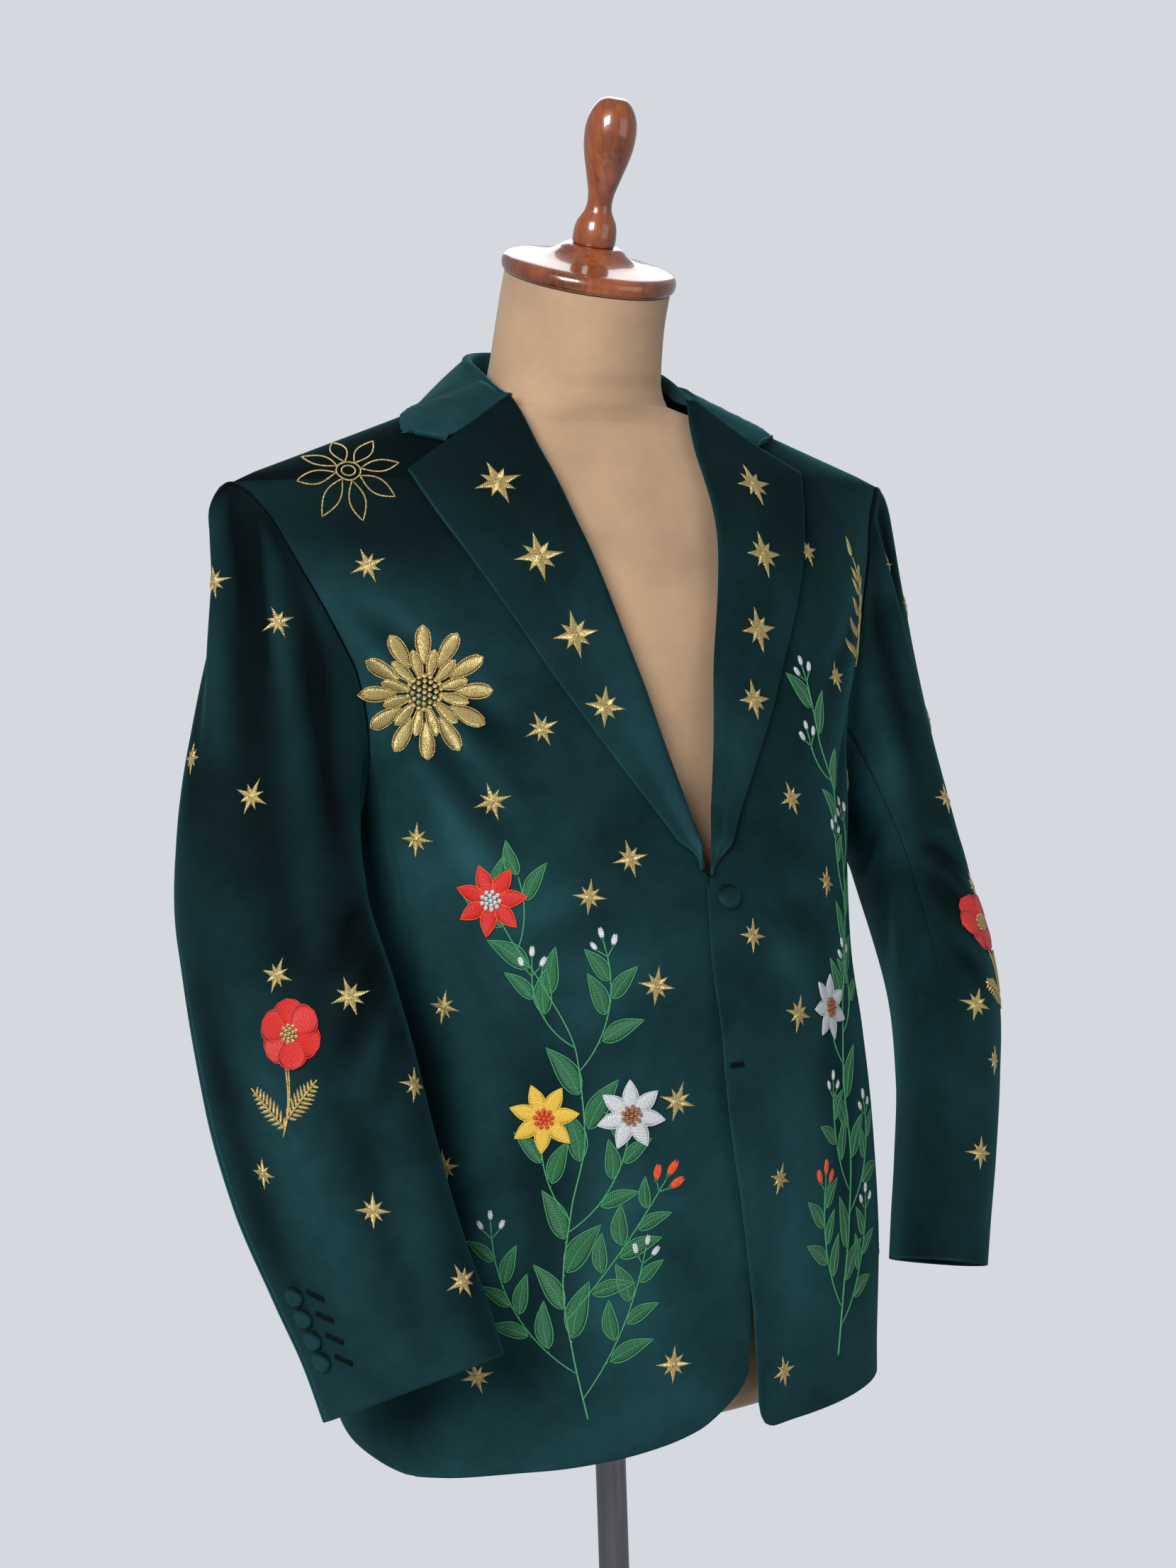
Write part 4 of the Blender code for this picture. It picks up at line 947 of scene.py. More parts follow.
def buttons():
    for side, label in SIDE_NAME.items():
        for k, z in enumerate(CUFF_BUTTON_HEIGHTS):
            p, n = sleeve_skin(CUFF_BUTTON_ANGLE, cuff_share(z), side)
            p, n = mirror(p + n * 0.0006, side), mirror(n, side)
            button(f"cuff_button_{label}_{k + 1}", p, n, CUFF_BUTTON)
    for place, x, z in zip(("upper", "lower"), BUTTON_X, BUTTON_Z):
        p, n = front_point(x, z, 1)
        lift = over(x, z) + 0.0006 if place == "upper" else 0.0005
        button(f"front_button_{place}", p + n * lift, n, FRONT_BUTTON)


# Dress form
def form():
    steps = 128
    heights = np.unique(np.concatenate([FORM[:, 0], np.linspace(FORM[0, 0], FORM[-1, 0], 120)]))
    verts, faces = [], []
    for z in heights:
        mid, half, front, back, n, lean = (look_up(FORM, z, k) for k in range(1, 7))
        t = math.radians(lean)
        for k in range(steps):
            x, y = oval(half, front, back, n, n, 2 * math.pi * k / steps)
            verts.append((x, mid + y * math.cos(t), z + y * math.sin(t)))
    last = len(verts) - steps
    for i in range(0, last, steps):
        for k in range(steps):
            m = (k + 1) % steps
            faces.append((i + k, i + m, i + steps + m, i + steps + k))
    foot, top = len(verts), len(verts) + 1
    verts += [(0, 0, FORM[0, 0]), (0, FORM[-1, 1], FORM[-1, 0])]
    for k in range(steps):
        m = (k + 1) % steps
        faces += [(foot, m, k), (top, last + k, last + m)]
    stand_piece(new_mesh("form_torso_linen", verts, faces, LOOKS["linen"]), "form_torso")


def neck_axis(points, along):
    """Points made about +Z, leant forward with the neck, their foot at a distance along its axis."""
    t = math.radians(CAP_LEAN)
    turn = np.array(((1, 0, 0), (0, math.cos(t), math.sin(t)), (0, -math.sin(t), math.cos(t))))
    return (points + np.array((0, 0, along))) @ turn + np.array((0, CAP_Y, CAP_Z))


def stand_piece(obj, node):
    obj.data.set_sharp_from_angle(angle=math.radians(38))
    take_place(obj, node)


def stand():
    seated = CAP[-1, 0] + 0.0003
    cap = lathe("neck_cap_wood", rounded(CAP, 60), LOOKS["wood"], 96, lambda v: neck_axis(v, 0))
    stand_piece(cap, "neck_cap")
    top = lathe("finial_wood", rounded(FINIAL, 90), LOOKS["wood"], 72, lambda v: neck_axis(v, seated))
    stand_piece(top, "finial")
    tube = [(z, POLE_RADIUS) for z in (0.0618, 0.30, 0.60, 0.8217)]
    stand_piece(lathe("pole_steel", tube, LOOKS["steel"], 64), "pole")
    stand_piece(lathe("base_iron", rounded(BASE, 70), LOOKS["iron"], 96), "base")


# Sewing lies on the finished cloth, found by casting rays on each garment part
class Ground:
    """The outer cloth of a part of the garment, to lay thread on."""

    def __init__(self, names):
        verts, faces = [], []
        for name in names:
            mesh = bpy.data.objects[name].data
            first = len(verts)
            verts += [v.co.copy() for v in mesh.vertices]
            faces += [[first + k for k in face.vertices] for face in mesh.polygons]
        self.tree = BVHTree.FromPolygons(verts, faces)

    def drop(self, p, n):
        """The point straight below p on the cloth, seen against the normal n, or None where there is none."""
        at, normal, _, _ = self.tree.ray_cast(Vector(p + n * 0.012), Vector(-n), 0.030)
        if at is None:
            return None
        normal = np.array(normal)
        return np.array(at), normal if normal.dot(n) > 0 else -normal


CORD_SIDES = 6


class Thread:
    """All thread of one colour, gathered in one mesh."""

    def __init__(self, name, look):
        self.name, self.look, self.verts, self.faces, self.uvs = name, look, [], [], []

    def loft(self, rings, uvs, closed=False):
        """A closed skin round a row of rings of points, with both ends capped or joined."""
        count, sides, first = len(rings), len(rings[0]), len(self.verts)
        for ring_points, marks in zip(rings, uvs):
            self.verts += list(ring_points)
            self.uvs += list(marks)
        for i in range(count if closed else count - 1):
            a, b = first + i * sides, first + (i + 1) % count * sides
            for k in range(sides):
                m = (k + 1) % sides
                self.faces.append((a + k, a + m, b + m, b + k))
        if not closed:
            last = first + (count - 1) * sides
            self.faces.append(tuple(range(first, first + sides))[::-1])
            self.faces.append(tuple(range(last, last + sides)))

    def tube(self, points, radii, normals, closed=False):
        """A round cord through the points."""
        rings, uvs, run = [], [], 0.0
        count = len(points)
        turns = [2 * math.pi * k / CORD_SIDES for k in range(CORD_SIDES)]
        for i, p in enumerate(points):
            before = points[(i - 1) % count if closed else max(i - 1, 0)]
            after = points[(i + 1) % count if closed else min(i + 1, count - 1)]
            along = unit(after - before + 1e-12)
            across = unit(cross(along, normals[i]) + 1e-12)
            lift = cross(across, along)
            if i:
                run += math.dist(p, points[i - 1])
            rings.append([p + radii[i] * (across * math.cos(t) + lift * math.sin(t)) for t in turns])
            uvs.append([(run * 1000, k / CORD_SIDES) for k in range(CORD_SIDES)])
        self.loft(rings, uvs, closed)

    def bead(self, p, n, radius, tall, steps=8):
        """A small round knot, half sunk in the cloth."""
        across = unit(cross(n, np.array((0.3, 0.2, 1.0))))
        other = cross(n, across)
        first = len(self.verts)
        levels = (-0.35, 0.15, 0.62, 0.92)
        for level in levels:
            wide = radius * math.sqrt(1 - level * level)
            for k in range(steps):
                t = 2 * math.pi * (k + 0.5 * level) / steps
                out = across * math.cos(t) + other * math.sin(t)
                self.verts.append(p + n * radius * tall * level + wide * out)
                self.uvs.append((k / steps * 3, level * 3))
        top = len(self.verts)
        self.verts.append(p + n * radius * tall)
        self.uvs.append((0, 3))
        last = top - steps
        for a in range(first, last, steps):
            for k in range(steps):
                m = (k + 1) % steps
                self.faces.append((a + k, a + m, a + m + steps, a + k + steps))
        self.faces += [(last + k, last + (k + 1) % steps, top) for k in range(steps)]

    def build(self):
        obj = new_mesh(self.name, self.verts, self.faces, self.look, uvs=self.uvs)
        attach(obj, "root")


class Spot:
    """A place on the cloth where a motif is sewn: flat places across and up are dropped on to the cloth."""

    def __init__(self, ground, p, n, turn=0.0):
        self.ground, self.p, self.n, self.base = ground, p, n, 0.0
        across = unit(cross(UP, n))
        up = unit(cross(n, across))
        self.across = across * math.cos(turn) + up * math.sin(turn)
        self.up = up * math.cos(turn) - across * math.sin(turn)

    def at(self, u, v, lift=0.0):
        """A point of the motif raised off the cloth, and the cloth's normal there."""
        p = self.p + self.across * u + self.up * v
        p, n = self.ground.drop(p, self.n) or (p, self.n)
        return p + n * (lift + self.base), n


def leaf_width(t, point=0.72):
    """Half width of a leaf along its length, 0 at both ends and 1 at the widest place."""
    return math.sin(math.pi * t**point) if 0 < t < 1 else 0.0


def petal_width(t):
    """Half width of a rounded petal along its length."""
    return math.sin(math.pi * min(t, 0.999) ** 0.95) ** 0.55 * (0.52 + 0.48 * t) if 0 < t < 1 else 0.0


# How far the edges and the back of a patch lie under the cloth
UNDER = 0.0003
# Half width from which a patch has its full height
FULL_WIDTH = 0.0012


def patch(thread, spot, spine, half_width, height, across=6, mark=0.0):
    """A raised patch of satin stitch along a spine of flat points, with a half width at each."""
    rings, uvs, run = [], [], 0.0
    for i, (u, v) in enumerate(spine):
        before, after = spine[max(i - 1, 0)], spine[min(i + 1, len(spine) - 1)]
        du, dv = after[0] - before[0], after[1] - before[1]
        size = math.hypot(du, dv) or 1.0
        if i:
            run += math.dist((u, v), spine[i - 1])
        row, marks = [], []
        for k in range(across + 1):
            c = 2 * k / across - 1
            w = half_width[i] * c
            lift = height * math.sqrt(max(1 - c * c, 0)) * min(1, half_width[i] / FULL_WIDTH)
            lift -= UNDER * (abs(c) > 0.99)
            row.append(spot.at(u - dv / size * w, v + du / size * w, lift)[0])
            marks.append((run * 1000 + mark, w * 1000))
        row.append(spot.at(u, v, -UNDER)[0])
        marks.append((run * 1000 + mark, 0.0))
        rings.append(row)
        uvs.append(marks)
    THREADS[thread].loft(rings, uvs)


def line(thread, spot, path, radius, taper=False, closed=False, lift=0.6):
    """A stem or outline stitched along flat points."""
    placed = [spot.at(u, v, radius * lift) for u, v in path]
    radii = [radius * (1 - 0.55 * i / (len(path) - 1) if taper else 1) for i in range(len(path))]
    THREADS[thread].tube([p for p, _ in placed], radii, [n for _, n in placed], closed)


def knot(thread, spot, place, lift, radius, tall=0.9, steps=8):
    THREADS[thread].bead(*spot.at(*place, lift), radius, tall, steps)


def shares(count):
    """Even steps from 0 to 1."""
    return [i / count for i in range(count + 1)]


def turned(u, v, angle):
    c, s = math.cos(angle), math.sin(angle)
    return u * c - v * s, u * s + v * c


def set_down(start, angle, points):
    """Flat points, turned and moved to a start."""
    return [(start[0] + x, start[1] + y) for x, y in (turned(u, v, angle) for u, v in points)]


def petal(thread, edge, spot, angle, ends, widths, height=None, across=6, mark=0.0, cord=0.00045, lift=0.7):
    """A petal between two distances from the middle, with a corded rim, filled where a height is given."""
    count = len(widths) - 1
    reach = [ends[0] + (ends[1] - ends[0]) * t for t in shares(count)]
    if height:
        patch(thread, spot, [turned(0, r, angle) for r in reach], widths, height, across, mark)
    one, other = ([turned(way * w, r, angle) for w, r in zip(widths, reach)] for way in (1, -1))
    line(edge, spot, one + other[-2:0:-1], cord, closed=True, lift=lift)


def star(spot, radius, inner=0.36):
    """A gold star with four long and four short points in turn."""
    for k in range(8):
        reach = radius * (0.72 if k % 2 else 1)
        spine = [turned(0, reach * t, math.pi * k / 4) for t in (0.0, 0.16, 0.34, 0.55, 0.78, 1.0)]
        width = [radius * inner * w for w in (0.40, 0.66, 0.58, 0.38, 0.19, 0.02)]
        patch("gold", spot, spine, width, 0.0009, mark=k * 3.1)
    knot("gold", spot, (0, 0), 0.0006, radius * 0.16, 0.45, 10)


def leaf(spot, start, angle, length, width):
    """A stitched leaf on a short stalk, with its outline and midrib."""
    foot = turned(0, 0.10 * length, angle)
    line("stem", spot, [start, (start[0] + foot[0] / 2, start[1] + foot[1] / 2)], 0.0004)
    start = (start[0] + foot[0], start[1] + foot[1])
    bend = math.copysign(0.06 * length, angle)
    steps = shares(11)
    widths = [0.5 * width * leaf_width(t) for t in steps]
    bends = [bend * math.sin(math.pi * t) for t in steps]
    spine, one, other = (
        set_down(start, angle, [(way * w + b, t * length) for t, w, b in zip(steps, widths, bends)])
        for way in (0, 1, -1)
    )
    patch("leaf", spot, spine, widths, 0.0006, mark=start[0] * 3000)
    line("stem", spot, one + other[-2:0:-1], 0.00040, closed=True, lift=0.7)
    line("stem", spot, spine[:-1], 0.00036, taper=True, lift=2.2)


def blossom(spot, radius, petals, fill, edge, heart, turn=0.0, pointed=True):
    """A flower of pointed or of full, rounded petals with an outline, and a heart of knots."""
    wide = radius * math.sin(math.pi / petals) * (0.50 if pointed else 1.18)
    widths = [wide * (leaf_width(t, 0.86) if pointed else petal_width(t)) for t in shares(11)]
    for k in range(petals):
        spot.base = 0.0008 if pointed else 0.0006 + 0.0007 * (k % 2)
        angle = turn + 2 * math.pi * k / petals
        petal(fill, edge, spot, angle, (0.12 * radius, 0.98 * radius), widths, 0.0009, 8, k * 2.7)
    spot.base = 0.0010
    for count, reach, shift in ((1, 0, 0), (6, 0.13, 0), (9, 0.235, 0.5)):
        for k in range(count):
            place = turned(0, radius * reach, 2 * math.pi * (k + shift) / count)
            knot(heart, spot, place, 0.0010, radius * 0.068)


def bud(spot, foot, angle, length, colour):
    """A bud of two short satin petals in a green cup."""
    for way in (-1, 1):
        spine = set_down(foot, angle, [(way * 0.10 * length * t, length * t) for t in shares(4)])
        patch(colour, spot, spine, [length * w for w in (0.10, 0.21, 0.24, 0.17, 0.02)], 0.0012)
    cup = set_down(foot, angle, [(0, length * t) for t in (-0.22, 0.05, 0.3)])
    patch("leaf", spot, cup, [length * w for w in (0.05, 0.20, 0.02)], 0.0013)


# Materials
def nodes_of(name):
    """A new look with its shader, a way to add a node, and a way to feed the shader's sockets."""
    made = bpy.data.materials.new(name)
    made.use_nodes = True
    tree = made.node_tree
    shader = tree.nodes["Principled BSDF"]

    def node(kind, links=(), sockets=None, **values):
        n = tree.nodes.new(f"ShaderNode{kind}")
        for key, value in values.items():
            if key in n.inputs.keys():
                n.inputs[key].default_value = value
            else:
                setattr(n, key, value)
        for key, value in (sockets or {}).items():
            n.inputs[key].default_value = value
        for key, source in links:
            tree.links.new(source, n.inputs[key])
        return n

    def feed(socket, source):
        tree.links.new(source, shader.inputs[socket])

    return made, shader, node, feed


def span(node, source, low, high, start=0.0, end=1.0):
    """The source's run from start to end, turned into one from low to high."""
    sizes = {"From Min": start, "From Max": end, "To Min": low, "To Max": high}
    return node("MapRange", [("Value", source)], sizes).outputs[0]


def bump(node, height, strength, distance=0.0004):
    return node("Bump", [("Height", height)], Strength=strength, Distance=distance).outputs[0]


def ramp_of(node, source, stops):
    made = node("ValToRGB", [("Fac", source)])
    ramp = made.color_ramp
    while len(ramp.elements) < len(stops):
        ramp.elements.new(0.5)
    for element, (at, colour) in zip(ramp.elements, stops):
        element.position = at
        element.color = (*colour, 1)
    return made.outputs["Color"]


# The normal's upward share over which the painted shade on top sets in; the run of the marks of painted light
# and shade, and how dark and light they make the pile
LOOKS_UP, PAINTED_RUN, PAINTED_SHADES = (-0.06, 0.48), (-1.8, 1.0), (0.17, 1.50)


def velvet(name, dark, light, sheen, top_shade):
    """Velvet: soft patches of brushed pile in a random tone; painted shade darkens it where it looks up, as
    far as the last argument says, and the marks on its mesh paint it lighter on ridges and darker in troughs.
    """
    made, shader, node, feed = nodes_of(name)
    place = [("Vector", node("TexCoord").outputs["Object"])]
    patches = node("TexNoise", place, Scale=8.0, Detail=3.0, Roughness=0.5, Distortion=0.5).outputs[0]
    small = node("TexNoise", place, Scale=85.0, Detail=3.0, Roughness=0.6).outputs[0]
    mixed = node("Math", [(0, small), (2, patches)], {1: 0.24}, operation="MULTIPLY_ADD")
    colour = ramp_of(node, mixed.outputs[0], [(0.46, dark), (0.80, light)])
    # Painted shade: darker where the normal looks up
    facing = node("SeparateXYZ", [("Vector", node("NewGeometry").outputs["Normal"])])
    painted_light = span(node, facing.outputs[2], 1.0, top_shade, *LOOKS_UP)
    # Painted light and shade from the marks on the mesh: lighter on ridges, darker in troughs
    painted_marks = span(node, node("Attribute", attribute_name="painted_light").outputs["Fac"], *PAINTED_SHADES, *PAINTED_RUN)
    brush_grain_and_shade = node("Math", [(0, painted_light), (1, painted_marks)], operation="MULTIPLY")
    # The colour with both painted shades
    painted_shading = node("VectorMath", [(0, colour), ("Scale", brush_grain_and_shade.outputs[0])], operation="SCALE")
    feed("Base Color", painted_shading.outputs[0])
    pile = node("TexNoise", place, Scale=2600.0, Detail=2.0, Roughness=0.5)
    fine = bump(node, pile.outputs[0], 0.35)
    soft = node("Bump", [("Height", patches), ("Normal", fine)], Strength=0.25, Distance=0.004)
    feed("Normal", soft.outputs[0])
    feed("Roughness", span(node, small, 0.82, 0.98))
    shader.inputs["Specular IOR Level"].default_value = 0.05
    shader.inputs["Sheen Weight"].default_value = sheen
    shader.inputs["Sheen Roughness"].default_value = 0.34
    shader.inputs["Sheen Tint"].default_value = (0.10, 0.52, 0.56, 1)
    return made


def linen():
    made, shader, node, feed = nodes_of("form linen")
    place = [("Vector", node("TexCoord").outputs["Object"])]
    blotch = node("TexNoise", place, Scale=14.0, Detail=5.0, Roughness=0.6)
    colour = ramp_of(node, blotch.outputs[0], [(0.30, (0.375, 0.243, 0.150)), (0.62, (0.482, 0.312, 0.184))])
    warp = node("TexWave", place, Scale=420.0, Distortion=1.5, Detail=2.0, bands_direction="Z")
    weft = node("TexNoise", place, Scale=900.0, Detail=2.0)
    weave = node("Math", [(0, warp.outputs["Fac"]), (1, weft.outputs[0])], operation="MULTIPLY")
    shade = ramp_of(node, weave.outputs[0], [(0.0, (0.84, 0.83, 0.81)), (0.7, (1, 1, 1))])
    mixed = node("Mix", [(6, colour), (7, shade)], {0: 1.0}, data_type="RGBA", blend_type="MULTIPLY")
    feed("Base Color", mixed.outputs[2])
    feed("Normal", bump(node, weave.outputs[0], 0.35))
    shader.inputs["Roughness"].default_value = 0.85
    shader.inputs["Sheen Weight"].default_value = 0.15
    return made


def wood():
    made, shader, node, feed = nodes_of("varnished wood")
    place = [("Vector", node("TexCoord").outputs["Object"])]
    grain = [("Vector", node("Mapping", place, {"Scale": (1.0, 1.0, 0.16)}).outputs[0])]
    bands = node("TexNoise", grain, Scale=150.0, Detail=6.0, Roughness=0.65, Distortion=0.8).outputs[0]
    stain = node("TexNoise", place, Scale=26.0, Detail=3.0)
    both = node("Math", [(0, bands), (1, stain.outputs[0])], operation="MULTIPLY")
    feed("Base Color", ramp_of(node, both.outputs[0], [
        (0.13, (0.060, 0.012, 0.003)), (0.26, (0.21, 0.045, 0.008)), (0.40, (0.30, 0.075, 0.012)),
    ]))
    feed("Normal", bump(node, bands, 0.10, 0.0006))
    feed("Roughness", span(node, bands, 0.22, 0.36))
    shader.inputs["Coat Weight"].default_value = 0.9
    shader.inputs["Coat Roughness"].default_value = 0.06
    return made


def thread_look(name, dark, light, metallic, rough, sheen, stitch, gloss=0.4):
    """Stitches lie across a patch: fine stripes along its first measure, in millimetres, painted dark between
    the stitches as shade and light on them as glints, with a random tone from the grain.
    """
    made, shader, node, feed = nodes_of(name)
    place = [("Vector", node("UVMap", uv_map="thread").outputs[0])]
    slant = [("Vector", node("Mapping", place, {"Rotation": (0, 0, 0.5)}).outputs[0])]
    wave = {"Scale": stitch, "Distortion": 3.2, "Detail": 2.0, "Detail Scale": 1.6}
    stripes = node("TexWave", slant, wave, bands_direction="X").outputs["Fac"]
    grain = node("TexNoise", place, Scale=1.7, Detail=3.0).outputs[0]
    mixed = node("Math", [(0, stripes), (1, grain)], operation="MULTIPLY")
    # Painted shade between the stitches and painted glints on them, mixed with the thread's random tone
    feed("Base Color", ramp_of(node, mixed.outputs[0], [(0.08, dark), (0.42, light)]))
    feed("Normal", bump(node, stripes, 0.7))
    feed("Roughness", span(node, grain, rough - 0.08, rough + 0.10))
    shader.inputs["Metallic"].default_value = metallic
    shader.inputs["Sheen Weight"].default_value = sheen
    shader.inputs["Specular IOR Level"].default_value = gloss
    return made


def metal(name, colour, metallic, low, high, stretch):
    made, shader, node, feed = nodes_of(name)
    place = [("Vector", node("TexCoord").outputs["Object"])]
    brush_grain_and_shade = [("Vector", node("Mapping", place, {"Scale": stretch}).outputs[0])]
    streaks = node("TexNoise", brush_grain_and_shade, Scale=320.0, Detail=5.0, Roughness=0.6).outputs[0]
    feed("Base Color", ramp_of(node, streaks, [(0.3, tuple(c * 0.75 for c in colour)), (0.7, colour)]))
    feed("Roughness", span(node, streaks, low, high))
    feed("Normal", bump(node, streaks, 0.12))
    shader.inputs["Metallic"].default_value = metallic
    return made


# The three velvets are one cloth; the last number is how dark the painted shade on top makes each
LOOKS = {
    "velvet": velvet("bottle green velvet", (0.0047, 0.0212, 0.0243), (0.0112, 0.0486, 0.0549), 0.22, 0.18),
    "lapel": velvet("lapel velvet", (0.0050, 0.0210, 0.0245), (0.0112, 0.0470, 0.0540), 0.20, 0.30),
    # The collar's copy is painted lighter, as light, with less painted shade on top
    "collar": velvet("collar velvet painted lighter", (0.0062, 0.0260, 0.0300), (0.0145, 0.0555, 0.0625), 0.25, 0.80),
    "linen": linen(),
    "wood": wood(),
    "steel": metal("dark steel", (0.20, 0.20, 0.21), 1.0, 0.22, 0.42, (1.0, 1.0, 0.05)),
    "iron": metal("satin black iron", (0.030, 0.030, 0.033), 0.3, 0.38, 0.55, (1.0, 1.0, 1.0)),
}
# Threads: look, colour in the painted shade between stitches and in the painted glints on them, metallic,
# roughness, sheen, closeness of the stitches, gloss
THREAD_LOOKS = {
    "gold": ("gold thread", (0.13, 0.075, 0.012), (1.0, 0.80, 0.34), 0.70, 0.30, 0.0, 0.42, 0.5),
    "leaf": ("leaf green thread", (0.0015, 0.022, 0.008), (0.022, 0.200, 0.072), 0.0, 0.5, 0.10, 0.30),
    "stem": ("stem green thread", (0.022, 0.170, 0.062), (0.085, 0.440, 0.180), 0.0, 0.5, 0.1, 0.5),
    "red": ("red thread", (0.26, 0.004, 0.004), (0.82, 0.022, 0.012), 0.0, 0.45, 0.1, 0.32),
    "orange": ("orange thread", (0.50, 0.035, 0.006), (0.88, 0.10, 0.012), 0.0, 0.45, 0.1, 0.35),
    "yellow": ("yellow thread", (0.45, 0.26, 0.02), (0.88, 0.62, 0.07), 0.0, 0.45, 0.1, 0.32),
    "white": ("white thread", (0.26, 0.30, 0.31), (0.78, 0.80, 0.80), 0.0, 0.5, 0.1, 0.32),
    "copper": ("copper thread", (0.20, 0.06, 0.025), (0.70, 0.34, 0.18), 0.5, 0.35, 0.0, 0.6),
    # Dark green thread of the buttonholes; the same near-black colour is painted shade behind the armhole
    # seams
    "dark": ("dark green thread", (0.0008, 0.004, 0.0045), (0.002, 0.009, 0.010), 0.0, 0.7, 0.0, 0.6, 0.08),
}
# Pieces that the threads are gathered in
THREAD_PIECES = {
    "gold": "embroidery_gold",
    "leaf": "embroidery_leaves",
    "stem": "embroidery_stems",
    "red": "embroidery_red",
    "orange": "embroidery_orange",
    "yellow": "embroidery_yellow",
    "white": "embroidery_white",
    "copper": "embroidery_knots",
    # Buttonhole stitches, and the painted shade behind the armhole seams
    "dark": "buttonhole_stitches_and_seam_shade",
}


# Build
for wearer in (1, -1):
    front_panel(wearer)
    back_panel(wearer)
    side_panel(wearer)
    lapel(wearer)
    sleeve(wearer, "top")
    sleeve(wearer, "under")
collar()
buttons()
form()
stand()

# Threads
THREADS = {key: Thread(piece, thread_look(*THREAD_LOOKS[key])) for key, piece in THREAD_PIECES.items()}
GROUNDS = {}
for sign, label in SIDE_NAME.items():
    GROUNDS["body", sign] = Ground([f"front_{label}_cloth", f"side_{label}_cloth", f"back_{label}_cloth"])
    GROUNDS["lapel", sign] = Ground([f"lapel_{label}_cloth"])
    GROUNDS["sleeve", sign] = Ground([f"top_sleeve_{label}_cloth", f"under_sleeve_{label}_cloth"])


def spot_on(part, side, p, n, turn):
    return Spot(GROUNDS[part, side], mirror(p, side), mirror(n, side), turn)


def body_spot(side, x, z, turn=0.0):
    """A spot on a front at a distance from the centre and a height."""
    return spot_on("body", side, *front_point(x, z, side), turn)


def lapel_spot(side, x, z, turn=0.0):
    p, n = front_point(x, z, side)
    return spot_on("lapel", side, p + n * 0.005, n, turn)


def sleeve_spot(side, around, s, turn=0.0):
    return spot_on("sleeve", side, *sleeve_skin(around, s, side), turn)


# Stars down the lapels: distance from the centre, height, radius
LAPEL_STARS = (
    (0.1030, 1.4540, 0.0175), (0.0890, 1.4040, 0.0175), (0.0730, 1.3520, 0.0165), (0.0600, 1.3040, 0.0145),
)
# Stars on the fronts and sleeves: distance from the centre or turn, height or share of the length, radius
FRONT_STARS = {
    -1: (
        (0.196, 1.402, 0.0125), (0.103, 1.292, 0.0125), (0.137, 1.246, 0.0130), (0.056, 1.205, 0.0130),
        (0.086, 1.182, 0.0120), (0.048, 1.122, 0.0135), (0.166, 1.112, 0.0120), (0.040, 1.046, 0.0135),
        (0.172, 1.008, 0.0120), (0.047, 0.872, 0.0130), (0.163, 0.872, 0.0120), (0.176, 1.222, 0.0120),
    ),
    1: (
        (0.160, 1.318, 0.0115), (0.084, 1.236, 0.0125), (0.112, 1.176, 0.0115), (0.028, 1.148, 0.0120),
        (0.064, 1.092, 0.0130), (0.178, 1.240, 0.0110), (0.040, 0.852, 0.0115), (0.036, 0.985, 0.0110),
        (0.172, 0.905, 0.0120), (0.176, 1.060, 0.0115), (0.142, 1.408, 0.0120),
    ),
}
SLEEVE_STARS = {
    -1: ((0.86, 0.150, 0.0115), (0.02, 0.165, 0.0115), (0.42, 0.330, 0.0125), (0.30, 0.495, 0.0120),
         (0.98, 0.530, 0.0130), (0.55, 0.790, 0.0120), (1.38, 0.900, 0.0120), (-0.30, 0.715, 0.0110),
         (1.55, 0.655, 0.0115), (-0.45, 0.300, 0.0110)),
    1: ((0.62, 0.120, 0.0115), (1.00, 0.360, 0.0120), (0.40, 0.300, 0.0110), (0.78, 0.470, 0.0110),
        (1.45, 0.640, 0.0125), (0.95, 0.720, 0.0110), (1.30, 0.850, 0.0120), (0.10, 0.200, 0.0110),
        (0.10, 0.480, 0.0110)),
}
STAR_TURN = (-0.4, 0.4)


def sew_stars():
    luck = random.Random(11)
    for side in (1, -1):
        for x, z, radius in LAPEL_STARS:
            star(lapel_spot(side, x + luck.uniform(-0.002, 0.002), z, luck.uniform(*STAR_TURN)), radius)
        for spot_of, stars in ((body_spot, FRONT_STARS), (sleeve_spot, SLEEVE_STARS)):
            for a, b, radius in stars[side]:
                star(spot_of(side, a, b, luck.uniform(*STAR_TURN)), radius, 0.32)


def rosette(spot, radius):
    """A gold rosette: two rounds of broad petals, each with a corded rim, and a heart of knots."""
    for reach, start, wide, shift, base in ((1.0, 0.42, 0.150, 0.0, 0.0), (0.66, 0.20, 0.105, 0.5, 0.0007)):
        spot.base = base
        widths = [radius * wide * petal_width(t) for t in shares(9)]
        ends = (radius * start, radius * reach)
        for k in range(12):
            angle = math.pi * (k + shift) / 6
            petal("gold", "gold", spot, angle, ends, widths, 0.0011, 6, k * 3.7, 0.00050, 0.9)
    spot.base = 0.0012
    for count, reach in ((1, 0.0), (6, 0.085), (12, 0.165), (18, 0.24)):
        for k in range(count):
            knot("gold", spot, turned(0, radius * reach, 2 * math.pi * k / count), 0.0, radius * 0.040)


def spray(spot, size):
    """A curved gold spray of narrow leaves in pairs."""
    stem = [(0.30 * size * math.sin(2.0 * t) - 0.10 * size, size * (t - 0.5)) for t in shares(16)]
    line("gold", spot, stem, 0.0009, taper=True, lift=0.8)
    for k in range(5):
        at, length = stem[int((0.12 + 0.17 * k) * 16)], size * (0.34 - 0.035 * k)
        for way in (-1, 1):
            gold_leaf(spot, at, -way * (0.75 - 0.05 * k), length, length * 0.30)
    gold_leaf(spot, stem[-1], -0.2, size * 0.20, size * 0.075)


